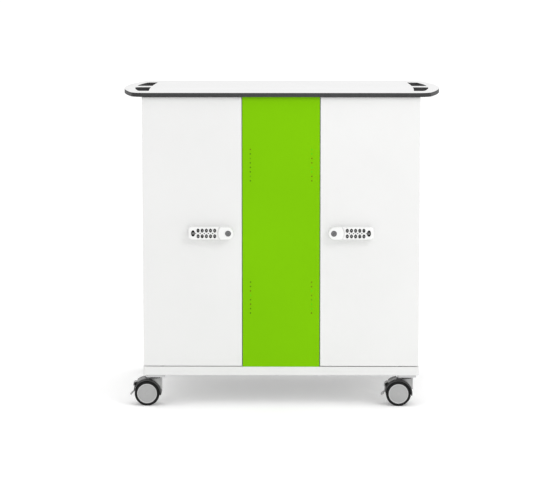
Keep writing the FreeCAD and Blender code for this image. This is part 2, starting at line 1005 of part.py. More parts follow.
def castor_plate(x, y):
    """List the fixed solids of one castor: its spacer pad, and its top plate with ring and stud."""
    half = castor_plate_width / 2
    pad = box(x - half, x + half, y - half, y + half, castor_height, base_bottom_z)
    plate = box(x - half, x + half, y - half, y + half, swivel_ring_top_z, castor_height)
    up = Vector(0, 0, 1)
    ring_foot = Vector(x, y, swivel_ring_bottom_z)
    ring = rod(ring_foot, up, swivel_ring_radius, swivel_ring_height, ring_sides)
    stud_foot = Vector(x, y, swivel_ring_bottom_z - swivel_stud_length)
    stud = rod(stud_foot, up, swivel_stud_radius, swivel_stud_length, shaft_sides)
    plate = fuse([ease_uprights(plate, castor_plate_corner), ring, stud])
    return [ease_uprights(pad, castor_plate_corner), plate]


def curved_bar(centre, inner, outer, start, end, steps, half_width):
    """Return a curved bar about an axis along Y, between two radii and two angles."""
    shift = Vector(0, -half_width, 0)
    points = arc_points(centre + shift, outer, start, end, steps)
    if inner > 0:
        points += arc_points(centre + shift, inner, end, start, steps)
    else:
        points.append(centre + shift)
    return Part.Face(Part.makePolygon(points + points[:1])).extrude(Vector(0, 2 * half_width, 0))


def hood_outline(centre, inner, outer, half_width):
    """Return a curved bar over the hood's turn."""
    steps = wheel_sides // 2
    return curved_bar(centre, inner, outer, hood_front_degrees, hood_tail_degrees, steps, half_width)


def castor_hood(centre, braked):
    """Return the wheel hood moulded in one with the web between the wheels and the axle boss."""
    axis = Vector(0, 1, 0)
    half_web = castor_web_thickness / 2
    hood = hood_outline(centre, hood_inner_radius, hood_outer_radius, castor_half_width)
    web = hood_outline(centre, 0, hood_inner_radius, half_web)
    boss_start = centre - axis * half_web
    boss = rod(boss_start, axis, axle_boss_radius, castor_web_thickness, ring_sides)
    body = fuse([hood, web, boss])
    bore_start = centre - axis * (half_web + overrun)
    bore_length = castor_web_thickness + 2 * overrun
    axle_bore = bore(bore_start, axis, axle_radius + running_clearance, bore_length, shaft_sides)
    body = body.cut(axle_bore)
    if not braked:
        return body.Solids[0]
    pivot = pedal_pivot(centre)
    notch_radius = pedal_lobe_radius + pedal_notch_clearance
    notch = bore(pivot - axis * half_web, axis, notch_radius, castor_web_thickness, ring_sides)
    tail = box(
        pivot.x - 2 * notch_radius,
        pivot.x,
        pivot.y - half_web,
        pivot.y + half_web,
        centre.z,
        pivot.z + notch_radius,
    )
    pin_start = pivot - axis * (half_web + overrun)
    pin = rod(pin_start, axis, pedal_pin_radius, bore_length, shaft_sides)
    foot_rest = curved_bar(
        centre,
        (hood_inner_radius + hood_outer_radius) / 2,
        foot_rest_radius,
        foot_rest_front_degrees,
        foot_rest_rear_degrees,
        foot_rest_steps,
        foot_rest_width / 2,
    )
    return fuse([body.cut([notch, tail]), foot_rest, pin])


def castor_bracket(x, y, centre):
    """Return the swivel bracket that stands on the hood and turns on the plate's stud."""
    up = Vector(0, 0, 1)
    foot = Vector(x, y, bracket_foot_height)
    height = castor_frame_top_z - bracket_foot_height
    barrel = rod(foot, up, bracket_radius, height, ring_sides)
    block = box(
        x - bracket_rear_reach,
        x + bracket_reach,
        y - bracket_width / 2,
        y + bracket_width / 2,
        bracket_foot_height,
        castor_frame_top_z,
    )
    under_hood = hood_outline(centre, 0, hood_outer_radius, castor_half_width)
    stud_foot = Vector(x, y, swivel_ring_bottom_z - swivel_stud_length - swivel_gap)
    stud_length = swivel_stud_length + overrun
    stud_bore = bore(stud_foot, up, swivel_stud_radius + running_clearance, stud_length, shaft_sides)
    return fuse([barrel, block]).cut([under_hood, stud_bore]).Solids[0]


def castor_wheels(centre):
    """List the axle and the two wheels, each with its tread moulded on."""
    axis = Vector(0, 1, 0)
    inner = castor_web_thickness / 2 + wheel_web_gap
    widen = 1 / math.cos(math.pi / wheel_sides)
    tread_radius = wheel_radius * widen
    face_radius = (wheel_radius - wheel_edge) * widen
    wheels = []
    for side in (-1, 1):
        outlines = [
            flats(centre + axis * side * inner, axis, tread_radius, wheel_sides),
            flats(centre + axis * side * (castor_half_width - wheel_edge), axis, tread_radius, wheel_sides),
            flats(centre + axis * side * castor_half_width, axis, face_radius, wheel_sides),
        ]
        wheels.append(Part.makeLoft(outlines, True, True))
    axle = rod(centre - axis * inner, axis, axle_radius, 2 * inner, shaft_sides)
    return wheels + [axle]


def pedal_pivot(centre):
    """Return the middle of a brake pedal's pivot pin."""
    return polar(centre, (hood_inner_radius + hood_outer_radius) / 2, pedal_pivot_degrees)


def pedal_bar(start, end, width):
    """Return a flat bar between two points in the upright plane, across the castor's middle."""
    run = end - start
    side = Vector(-run.z, 0, run.x).normalize() * (pedal_thickness / 2)
    shift = Vector(0, -width / 2, 0)
    corners = [start - side, end - side, end + side, start + side, start - side]
    outline = Part.makePolygon([corner + shift for corner in corners])
    return Part.Face(outline).extrude(Vector(0, width, 0))


def brake_pedal(centre):
    """Return one brake pedal: lobe on the pivot pin, arm between the wheels and wide paddle."""
    axis = Vector(0, 1, 0)
    lobe_start = pedal_pivot(centre) - axis * (pedal_lobe_width / 2)
    lobe = rod(lobe_start, axis, pedal_lobe_radius, pedal_lobe_width, ring_sides)
    root = centre + Vector(-pedal_root_out, 0, pedal_root_rise)
    bend = centre + Vector(-pedal_bend_out, 0, pedal_bend_rise)
    tip = centre + Vector(-pedal_tip_out, 0, -pedal_tip_drop)
    arm = pedal_bar(root, bend, pedal_lobe_width)
    paddle = pedal_bar(bend, tip, pedal_paddle_width)
    hole_start = lobe_start - axis * overrun
    hole_length = pedal_lobe_width + 2 * overrun
    hole = bore(hole_start, axis, pedal_pin_radius + running_clearance, hole_length, shaft_sides)
    return fuse([lobe, arm, paddle]).cut(hole).Solids[0]


def make_castors():
    """Make the four castors, the two front ones with brakes."""
    plates = []
    for name, (x, y) in castors.items():
        plates += castor_plate(x, y)
        centre = Vector(x - castor_trail, y, wheel_radius)
        braked = name.startswith("front")
        save("castor_frame_" + name, [castor_hood(centre, braked), castor_bracket(x, y, centre)])
        save("castor_wheels_" + name, castor_wheels(centre))
        if braked:
            save("brake_pedal_" + name, [brake_pedal(centre)])
    save("castor_plates", plates)


def main():
    """Build every sub-part of the cart."""
    os.makedirs("parts", exist_ok=True)
    make_worktop()
    make_carcass()
    make_back_panel()
    make_mains_inlet()
    make_centre_panel()
    make_charging_units()
    make_tablet_racks()
    make_door_glides()
    make_hinges()
    make_doors()
    make_locks()
    make_castors()


main()
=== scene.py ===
"""Looks of the tablet charging cart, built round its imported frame. Metres, +Z up, the doors face -Y."""

from __future__ import annotations

import json
import logging
import math
from collections.abc import Callable, Sequence
from dataclasses import dataclass, replace
from enum import Enum

import bmesh
import bpy
from bmesh.types import BMEdge, BMesh, BMFace, BMVert
from mathutils import Matrix, Vector


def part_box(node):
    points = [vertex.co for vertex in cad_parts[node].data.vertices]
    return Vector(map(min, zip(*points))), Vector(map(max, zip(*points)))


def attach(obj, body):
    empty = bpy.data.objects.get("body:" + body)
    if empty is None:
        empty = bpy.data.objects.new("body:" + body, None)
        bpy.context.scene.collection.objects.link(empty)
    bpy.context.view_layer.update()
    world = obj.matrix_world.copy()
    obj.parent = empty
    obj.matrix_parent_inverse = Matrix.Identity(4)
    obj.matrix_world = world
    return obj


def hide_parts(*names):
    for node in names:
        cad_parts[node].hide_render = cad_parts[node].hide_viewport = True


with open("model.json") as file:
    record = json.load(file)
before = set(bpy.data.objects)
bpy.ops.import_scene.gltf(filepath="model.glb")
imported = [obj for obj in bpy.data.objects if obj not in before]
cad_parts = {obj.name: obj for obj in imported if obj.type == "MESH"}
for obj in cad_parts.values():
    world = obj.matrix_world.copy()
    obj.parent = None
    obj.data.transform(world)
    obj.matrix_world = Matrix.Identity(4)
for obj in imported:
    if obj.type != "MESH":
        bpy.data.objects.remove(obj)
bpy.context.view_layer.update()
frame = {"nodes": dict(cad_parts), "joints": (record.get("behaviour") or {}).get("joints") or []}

LOG = logging.getLogger("charging_cart")
X_AXIS, Y_AXIS, Z_AXIS = Vector((1, 0, 0)), Vector((0, 1, 0)), Vector((0, 0, 1))
ORIGIN = Vector((0, 0, 0))

# What counts as one point, a sharp edge, a corner to round and a flat face.
SAME_POINT = 1e-6
NEAR_POINT = 10 * SAME_POINT
SHARP = math.radians(50)
CORNER = math.radians(25)
FLAT = math.radians(1)
FACE_ON = 0.98
SIDEWAYS = 0.5

MIRRORED = Matrix.Scale(-1, 4, X_AXIS)
IN_PLACE = Matrix.Identity(4)
UPRIGHT = Matrix.Rotation(math.pi / 2, 4, "X")

# What all the finishes share.
COAT_ROUGHNESS = 0.12
LEAST_ROUGHNESS = 0.03
BUMP_STRENGTH = 0.6
TONE_STOPS = (0.3, 0.7)
WORN_POINTINESS = (0.5, 0.6)
RUBBED_SHARE = 1 / 12
TONE_DETAIL = 4.0
WEAR_DETAIL = 3.0

# A screw head's profile as shares of its radius and height, a capital's share of its font's size, and a
# print's thickness as a share of its height.
SCREW_SHARES = ((0, 0.25), (0.4, 0.25), (0.44, 0.95), (0.62, 1), (0.9, 0.7), (1, 0.3), (1, 0), (0, 0))
CAPITAL_SHARE = 0.7
PRINT_SHARE = 1 / 60

Colour = tuple[float, float, float]
Profile = Sequence[tuple[float, float]]
EdgeTest = Callable[[BMEdge], bool]


class Grain(Enum):
    """The fine relief of a surface."""

    PEARL = "pearl"
    MOULDED = "moulded"
    PEEL = "peel"
    BRUSHED = "brushed"
    SAWN = "sawn"


STREAKS = {Grain.BRUSHED: 0.03, Grain.SAWN: 0.02}
DETAILS = {Grain.PEARL: 3.0, Grain.PEEL: 0.5, Grain.BRUSHED: 2.0, Grain.SAWN: 2.0}


class Side(Enum):
    """One half of the cart, as seen by someone who faces the doors."""

    LEFT = "left"
    RIGHT = "right"

    @property
    def place(self) -> Matrix:
        """Return the transform from the right half to this half."""
        return MIRRORED if self is Side.LEFT else IN_PLACE


class Lamp(Enum):
    """What one charge indicator shows."""

    OUT = "."
    FAINT = "f"
    RED = "r"
    GREEN = "g"


def connect(tree: bpy.types.NodeTree, node: bpy.types.Node, inputs: dict[str | int, object]) -> None:
    """Set some of a shader node's inputs.

    Args:
        tree: The nodes that it belongs to.
        node: The node.
        inputs: A constant, or another node's output, for each input.
    """
    for name, value in inputs.items():
        if isinstance(value, bpy.types.NodeSocket):
            tree.links.new(value, node.inputs[name])
        else:
            node.inputs[name].default_value = value


def add_node(
    tree: bpy.types.NodeTree, kind: str, inputs: dict[str | int, object], **settings: str
) -> bpy.types.Node:
    """Add a shader node.

    Args:
        tree: The nodes that it joins.
        kind: Its kind, without the first word that all kinds share.
        inputs: A constant, or another node's output, for each input.
        settings: Its other settings.

    Returns:
        The node.
    """
    node = tree.nodes.new("ShaderNode" + kind)
    for name, value in settings.items():
        setattr(node, name, value)
    connect(tree, node, inputs)
    return node


@dataclass(frozen=True)
class Finish:
    """How a surface looks: colour and gloss with slow variation, a fine relief and worn edges."""

    name: str
    colour: Colour
    roughness: float
    grain: Grain
    grain_size: float
    relief: float
    unevenness: float
    patch: float
    worn: float = 0.0
    metallic: float = 0.0
    coat: float = 0.0
    specular: float = 0.5
    glow: float = 0.0

    def material(self) -> bpy.types.Material:
        """Return the finish as a material, made the first time it is asked for.

        Returns:
            The material.
        """
        title = self.name + "_finish"
        made = bpy.data.materials.get(title)
        if made:
            return made
        made = bpy.data.materials.new(title)
        made.use_nodes = True
        made.diffuse_color = (*self.colour, 1.0)
        tree = made.node_tree
        where = tree.nodes.new("ShaderNodeTexCoord").outputs["Object"]
        tone = self._noise(tree, where, self.patch, TONE_DETAIL)
        gloss = add_node(tree, "MapRange", {
            "Value": tone,
            "To Min": max(self.roughness - self.unevenness, LEAST_ROUGHNESS),
            "To Max": min(self.roughness + self.unevenness, 1.0),
        })
        bump = add_node(tree, "Bump", {
            "Strength": BUMP_STRENGTH, "Distance": self.relief, "Height": self._relief(tree, where),
        })
        colour = self._shade(tree, tone)
        connect(tree, tree.nodes["Principled BSDF"], {
            "Metallic": self.metallic, "Coat Weight": self.coat, "Coat Roughness": COAT_ROUGHNESS,
            "Specular IOR Level": self.specular, "Emission Color": (*self.colour, 1.0),
            "Emission Strength": self.glow, "Roughness": gloss.outputs["Result"],
            "Base Color": self._worn_edges(tree, where, colour) if self.worn else colour,
            "Normal": bump.outputs["Normal"],
        })
        return made

    @staticmethod
    def _noise(
        tree: bpy.types.NodeTree, where: bpy.types.NodeSocket, size: float, detail: float
    ) -> bpy.types.NodeSocket:
        """Return a cloudy pattern.

        Args:
            tree: The material's nodes.
            where: The coordinates that the pattern follows.
            size: The size of its patches in metres.
            detail: How many finer layers it has.

        Returns:
            The pattern's value socket.
        """
        inputs = {"Scale": 1.0 / size, "Detail": detail, "Vector": where}
        return add_node(tree, "TexNoise", inputs).outputs["Fac"]

    def _shade(self, tree: bpy.types.NodeTree, tone: bpy.types.NodeSocket) -> bpy.types.NodeSocket:
        """Return the finish's colour with its slow variation.

        Args:
            tree: The material's nodes.
            tone: The pattern that it varies with.

        Returns:
            The colour socket.
        """
        ramp = add_node(tree, "ValToRGB", {"Fac": tone})
        shares = (1 - self.unevenness, 1 + self.unevenness / 2)
        for stop, share, place in zip(ramp.color_ramp.elements, shares, TONE_STOPS):
            stop.color = (*(min(part * share, 1.0) for part in self.colour), 1.0)
            stop.position = place
        return ramp.outputs["Color"]

    def _worn_edges(
        self, tree: bpy.types.NodeTree, where: bpy.types.NodeSocket, colour: bpy.types.NodeSocket
    ) -> bpy.types.NodeSocket:
        """Return the colour with paler, unevenly rubbed edges.

        Args:
            tree: The material's nodes.
            where: The coordinates that the wear follows.
            colour: The colour away from the edges.

        Returns:
            The colour socket with the wear in it.
        """
        bend = tree.nodes.new("ShaderNodeNewGeometry").outputs["Pointiness"]
        low, high = WORN_POINTINESS
        edge = add_node(tree, "MapRange", {"From Min": low, "From Max": high, "Value": bend})
        patches = self._noise(tree, where, self.patch * RUBBED_SHARE, WEAR_DETAIL)
        rubbed = add_node(tree, "Math", {0: edge.outputs["Result"], 1: patches}, operation="MULTIPLY")
        pale = (*(min(part + self.worn, 1.0) for part in self.colour), 1.0)
        inputs = {"B": pale, "Factor": rubbed.outputs[0], "A": colour}
        return add_node(tree, "Mix", inputs, data_type="RGBA").outputs["Result"]

    def _relief(self, tree: bpy.types.NodeTree, where: bpy.types.NodeSocket) -> bpy.types.NodeSocket:
        """Return the height pattern of the finish's grain.

        Args:
            tree: The material's nodes.
            where: The coordinates that the grain follows.

        Returns:
            The height socket.
        """
        if self.grain is Grain.MOULDED:
            inputs = {"Scale": 1.0 / self.grain_size, "Vector": where}
            return add_node(tree, "TexVoronoi", inputs, feature="SMOOTH_F1").outputs["Distance"]
        if self.grain in STREAKS:
            squeeze = STREAKS[self.grain]
            drawn = add_node(tree, "Mapping", {"Scale": (squeeze, squeeze, 1.0), "Vector": where})
            where = drawn.outputs["Vector"]
        return self._noise(tree, where, self.grain_size, DETAILS[self.grain])


WHITE_LAMINATE = Finish(
    "white_laminate", (0.76, 0.76, 0.755), roughness=0.42, grain=Grain.PEARL, grain_size=0.0011,
    relief=0.000018, unevenness=0.02, patch=0.25,
)
WHITE_EDGING = Finish(
    "white_edging", (0.74, 0.74, 0.735), roughness=0.36, grain=Grain.PEARL, grain_size=0.0016,
    relief=0.00001, unevenness=0.02, patch=0.1, worn=0.03,
)
TOP_LAMINATE = Finish(
    "worktop_laminate", (0.77, 0.77, 0.77), roughness=0.38, grain=Grain.PEARL, grain_size=0.0009,
    relief=0.00002, unevenness=0.02, patch=0.3,
)
GREEN_LAMINATE = Finish(
    "green_laminate", (0.192, 0.51, 0.0), roughness=0.45, grain=Grain.PEARL, grain_size=0.0011,
    relief=0.000018, unevenness=0.025, patch=0.25, specular=0.05,
)
GREEN_EDGING = replace(
    WHITE_EDGING, name="green_edging", colour=(0.16, 0.44, 0.0), roughness=0.4, unevenness=0.03, worn=0.02,
    specular=0.4,
)
SOLID_CORE = Finish(
    "solid_core", (0.034, 0.034, 0.035), roughness=0.5, grain=Grain.SAWN, grain_size=0.0006,
    relief=0.00003, unevenness=0.06, patch=0.05, worn=0.04, specular=0.08,
)
RACK_PLASTIC = Finish(
    "rack_plastic", (0.17, 0.175, 0.18), roughness=0.5, grain=Grain.MOULDED, grain_size=0.0008,
    relief=0.00003, unevenness=0.05, patch=0.06, worn=0.05,
)
BLACK_PLASTIC = Finish(
    "black_plastic", (0.022, 0.022, 0.023), roughness=0.42, grain=Grain.MOULDED, grain_size=0.0006,
    relief=0.00003, unevenness=0.1, patch=0.03, worn=0.05,
)
HINGE_ENAMEL = Finish(
    "hinge_enamel", (0.74, 0.74, 0.74), roughness=0.38, grain=Grain.PEEL, grain_size=0.002,
    relief=0.00002, unevenness=0.04, patch=0.05, worn=0.08,
)
LOCK_ENAMEL = Finish(
    "lock_enamel", (0.83, 0.83, 0.825), roughness=0.3, grain=Grain.PEEL, grain_size=0.0024,
    relief=0.00002, unevenness=0.03, patch=0.04, coat=0.2,
)
LOCK_STEEL = Finish(
    "lock_steel", (0.15, 0.15, 0.153), roughness=0.4, grain=Grain.BRUSHED, grain_size=0.0003,
    relief=0.00001, unevenness=0.08, patch=0.01, metallic=1.0,
)
PLUG_STEEL = replace(LOCK_STEEL, name="plug_steel", colour=(0.2, 0.2, 0.204))
ZINC = Finish(
    "zinc_plate", (0.62, 0.62, 0.63), roughness=0.33, grain=Grain.PEEL, grain_size=0.0015,
    relief=0.00002, unevenness=0.09, patch=0.012, metallic=1.0,
)
BRASS = Finish(
    "brass_pin", (0.72, 0.5, 0.22), roughness=0.3, grain=Grain.BRUSHED, grain_size=0.0004,
    relief=0.00001, unevenness=0.08, patch=0.01, metallic=1.0,
)
KEY_BLACK = Finish(
    "key_black", (0.01, 0.01, 0.0105), roughness=0.5, grain=Grain.MOULDED, grain_size=0.0005,
    relief=0.000015, unevenness=0.1, patch=0.01, specular=0.12,
)
KEY_PRINT = Finish(
    "key_print", (0.55, 0.55, 0.545), roughness=0.5, grain=Grain.PEARL, grain_size=0.0005,
    relief=0.000005, unevenness=0.04, patch=0.004,
)
MARK_PRINT = replace(
    KEY_PRINT, name="mark_print", colour=(0.015, 0.015, 0.016), unevenness=0.06, specular=0.1
)
TREAD = Finish(
    "wheel_tread", (0.008, 0.008, 0.0083), roughness=0.6, grain=Grain.MOULDED, grain_size=0.0007,
    relief=0.00004, unevenness=0.14, patch=0.012, worn=0.03, specular=0.1,
)
HUB_GREY = Finish(
    "hub_grey", (0.39, 0.39, 0.39), roughness=0.42, grain=Grain.MOULDED, grain_size=0.0006,
    relief=0.00002, unevenness=0.04, patch=0.03, worn=0.06,
)
HUB_RIM = replace(HUB_GREY, name="hub_rim", colour=(0.5, 0.5, 0.5))
HOOD_BLACK = Finish(
    "hood_black", (0.014, 0.014, 0.0145), roughness=0.36, grain=Grain.MOULDED, grain_size=0.0007,
    relief=0.00004, unevenness=0.1, patch=0.02, worn=0.06, specular=0.4,
)
# A paler, glossier copy of the hood black for the hoods' flat ends: the paler colour is a painted
# reflection of the light on them.
HOOD_SIDE_PAINTED_REFLECTION = replace(HOOD_BLACK, name="hood_side_painted_reflection", colour=(0.05, 0.05, 0.051), roughness=0.3)
BRACKET_GREY = Finish(
    "bracket_grey", (0.42, 0.42, 0.42), roughness=0.45, grain=Grain.MOULDED, grain_size=0.0007,
    relief=0.00003, unevenness=0.05, patch=0.02, worn=0.07,
)
REST_GREY = replace(BRACKET_GREY, name="rest_grey", colour=(0.17, 0.17, 0.17))
PAD_GREY = Finish(
    "pad_grey", (0.62, 0.62, 0.62), roughness=0.5, grain=Grain.MOULDED, grain_size=0.0008,
    relief=0.00002, unevenness=0.04, patch=0.03,
)
CASE_GREY = Finish(
    "case_grey", (0.45, 0.46, 0.47), roughness=0.48, grain=Grain.MOULDED, grain_size=0.0008,
    relief=0.00003, unevenness=0.04, patch=0.05,
)
BOARD_GREEN = Finish(
    "circuit_board", (0.02, 0.16, 0.05), roughness=0.3, grain=Grain.PEARL, grain_size=0.0009,
    relief=0.00002, unevenness=0.3, patch=0.004, coat=0.4,
)
LENS_CLEAR = Finish(
    "lamp_out", (0.008, 0.04, 0.001), roughness=0.4, grain=Grain.PEARL, grain_size=0.0006,
    relief=0.000004, unevenness=0.1, patch=0.003, specular=0.08,
)
LAMP_FINISHES = {
    Lamp.OUT: LENS_CLEAR,
    Lamp.FAINT: replace(LENS_CLEAR, name="lamp_faint", colour=(0.09, 0.28, 0.004)),
    Lamp.RED: replace(LENS_CLEAR, name="lamp_red", colour=(0.13, 0.012, 0.002), glow=0.05),
    Lamp.GREEN: replace(LENS_CLEAR, name="lamp_green", colour=(0.04, 0.55, 0.005), glow=0.2),
}
FLOOR_WHITE = Finish(
    "floor_white", (0.88, 0.88, 0.88), roughness=0.7, grain=Grain.PEARL, grain_size=0.002,
    relief=0.00001, unevenness=0.01, patch=1.5, specular=0.0, glow=0.18,
)


def level_at(axis: int, place: float) -> EdgeTest:
    """Return a test that picks the edges whose two ends lie at one place along an axis."""
    return lambda edge: all(abs(vert.co[axis] - place) < SAME_POINT for vert in edge.verts)


def in_front_of(depth: float) -> EdgeTest:
    """Return a test that picks the edges wholly in front of a depth."""
    return lambda edge: all(vert.co.y < depth for vert in edge.verts)


def behind(depth: float) -> EdgeTest:
    """Return a test that picks the edges wholly behind a depth."""
    return lambda edge: all(vert.co.y > depth for vert in edge.verts)


def is_level(edge: BMEdge) -> bool:
    """Tell whether an edge's two ends are equally high."""
    return abs(edge.verts[0].co.z - edge.verts[1].co.z) < SAME_POINT


def soften(solid: BMesh, width: float, segments: int = 2, keep: EdgeTest = lambda edge: True) -> BMesh:
    """Round a solid's sharp edges.

    Args:
        solid: The solid, which is changed.
        width: The width of the rounding in metres.
        segments: How many faces cross the rounding.
        keep: A test that picks the edges.

    Returns:
        The same solid.
    """
    whole = [edge for edge in solid.edges if edge.is_manifold]
    sharp = [edge for edge in whole if edge.calc_face_angle() > CORNER and keep(edge)]
    bmesh.ops.bevel(
        solid, geom=sharp, offset=width, offset_type="OFFSET", segments=segments,
        profile=0.5, affect="EDGES", clamp_overlap=True, material=-1,
    )
    return solid


def block(low: Sequence[float], high: Sequence[float], edge: float = 0.0, segments: int = 2) -> BMesh:
    """Return a block with rounded edges.

    Args:
        low: Its lowest corner.
        high: Its highest corner.
        edge: The width of the rounding, or 0 for none.
        segments: How many faces cross the rounding.

    Returns:
        The solid.
    """
    first, last = Vector(low), Vector(high)
    place = Matrix.LocRotScale((first + last) / 2, None, last - first)
    solid = bmesh.new()
    bmesh.ops.create_cube(solid, size=1.0, matrix=place)
    return soften(solid, edge, segments) if edge else solid


def turned(profile: Profile, start: Vector, axis: Vector, steps: int) -> BMesh:
    """Return a solid turned from its profile, as on a lathe.

    Args:
        profile: Pairs of a radius and a distance along the axis. They run from one end on the axis to the
            other, or round a closed section back to its first point.
        start: The point that the distances are measured from.
        axis: The direction of the axis.
        steps: How many faces go round it.

    Returns:
        The solid.
    """
    solid = bmesh.new()
    aside = axis.orthogonal().normalized()
    line = [solid.verts.new(start + axis * along + aside * radius) for radius, along in profile]
    if profile[0] != profile[-1]:
        edges = [solid.edges.new(pair) for pair in zip(line, line[1:])]
    else:
        solid.verts.remove(line.pop())
        edges = [solid.edges.new(pair) for pair in zip(line, line[1:] + line[:1])]
    bmesh.ops.spin(
        solid, geom=line + edges, cent=start, axis=axis, angle=math.tau, steps=steps, use_merge=True
    )
    bmesh.ops.remove_doubles(solid, verts=solid.verts, dist=SAME_POINT)
    bmesh.ops.recalc_face_normals(solid, faces=solid.faces)
    return solid


def both_ends(half: Profile, length: float) -> list[tuple[float, float]]:
    """Return the profile of a turned solid whose far end is like its near end.

    Args:
        half: The near end's profile, from the axis outwards.
        length: The length of the whole.

    Returns:
        The profile.
    """
    return [*half, *((radius, length - along) for radius, along in reversed(half))]


class Outline:
    """A flat closed outline, drawn by moving a point along lines and arcs of one plane."""

    def __init__(self, solid: BMesh, start: Vector, normal: Vector) -> None:
        """Start the outline.

        Args:
            solid: The mesh that it is drawn in.
            start: Its first point.
            normal: The direction that the arcs turn about.
        """
        self.solid = solid
        self.normal = normal
        self.first: BMVert = solid.verts.new(start)
        self.last: BMVert = self.first

    def line(self, end: Vector) -> Outline:
        """Draw a straight line.

        Args:
            end: The point that it goes to.

        Returns:
            This outline.
        """
        self.last = bmesh.ops.extrude_vert_indiv(self.solid, verts=[self.last])["verts"][0]
        self.last.co = end
        return self

    def arc(self, centre: Vector, degrees: float, steps: int) -> Outline:
        """Draw an arc.

        Args:
            centre: The point that it turns about.
            degrees: The angle that it turns by, with its sign.
            steps: How many lines it has.

        Returns:
            This outline.
        """
        made = bmesh.ops.spin(
            self.solid, geom=[self.last], cent=centre, axis=self.normal,
            angle=math.radians(degrees), steps=steps,
        )
        self.last = next(item for item in made["geom_last"] if isinstance(item, BMVert))
        return self

    def close(self) -> None:
        """Join the end to the start."""
        if (self.last.co - self.first.co).length < NEAR_POINT:
            bmesh.ops.weld_verts(self.solid, targetmap={self.last: self.first})
        else:
            self.solid.edges.new((self.last, self.first))


def filled(solid: BMesh) -> BMesh:
    """Fill the outlines in a mesh, with the inner ones as holes."""
    bmesh.ops.triangle_fill(solid, use_beauty=True, edges=solid.edges)
    return solid


def thickened(solid: BMesh, run: Vector) -> BMesh:
    """Draw a flat mesh out into a solid.

    Args:
        solid: The flat mesh, which is changed.
        run: The vector that it is drawn out along.

    Returns:
        The solid.
    """
    made = bmesh.ops.extrude_face_region(solid, geom=solid.faces[:])
    moved = [item for item in made["geom"] if isinstance(item, BMVert)]
    bmesh.ops.translate(solid, verts=moved, vec=run)
    bmesh.ops.recalc_face_normals(solid, faces=solid.faces)
    return solid


def copy_of(node: str) -> BMesh:
    """Return a CAD node's mesh with its loose triangles joined and its flat faces whole.

    Args:
        node: The node's name.

    Returns:
        The solid.
    """
    solid = bmesh.new()
    solid.from_mesh(frame["nodes"][node].data)
    bmesh.ops.remove_doubles(solid, verts=solid.verts, dist=NEAR_POINT)
    bmesh.ops.dissolve_limit(solid, angle_limit=FLAT, verts=solid.verts, edges=solid.edges)
    return solid


def oval(solid: BMesh, centre: Vector, half_width: float, half_height: float, segments: int = 28) -> None:
    """Draw an upright oval outline that faces the front.

    Args:
        solid: The mesh that it is drawn in.
        centre: Its middle.
        half_width: Half its size along X.
        half_height: Half its size along Z.
        segments: How many lines go round it.
    """
    place = Matrix.Translation(centre) @ Matrix.Diagonal((half_width, 1, half_height, 1)) @ UPRIGHT
    bmesh.ops.create_circle(solid, segments=segments, radius=1.0, matrix=place)


def numeral(text: str, height: float) -> BMesh:
    """Return one printed numeral as a thin raised solid, flat on the XY plane.

    Args:
        text: The character.
        height: Its height in metres.

    Returns:
        The solid.
    """
    curve = bpy.data.curves.new("numeral", "FONT")
    curve.body = text
    curve.size = height / CAPITAL_SHARE
    curve.extrude = height * PRINT_SHARE
    curve.resolution_u = 3
    curve.align_x = "CENTER"
    curve.align_y = "CENTER"
    holder = in_scene("numeral", curve)
    mesh = bpy.data.meshes.new_from_object(holder.evaluated_get(bpy.context.evaluated_depsgraph_get()))
    solid = bmesh.new()
    solid.from_mesh(mesh)
    bmesh.ops.remove_doubles(solid, verts=solid.verts, dist=SAME_POINT)
    bpy.data.objects.remove(holder)
    bpy.data.curves.remove(curve)
    bpy.data.meshes.remove(mesh)
    return solid


def in_scene(name: str, data: bpy.types.ID) -> bpy.types.Object:
    """Put a new object in the scene.

    Args:
        name: Its name.
        data: The mesh, curve, light or camera that it shows.

    Returns:
        The object.
    """
    made = bpy.data.objects.new(name, data)
    bpy.context.scene.collection.objects.link(made)
    return made


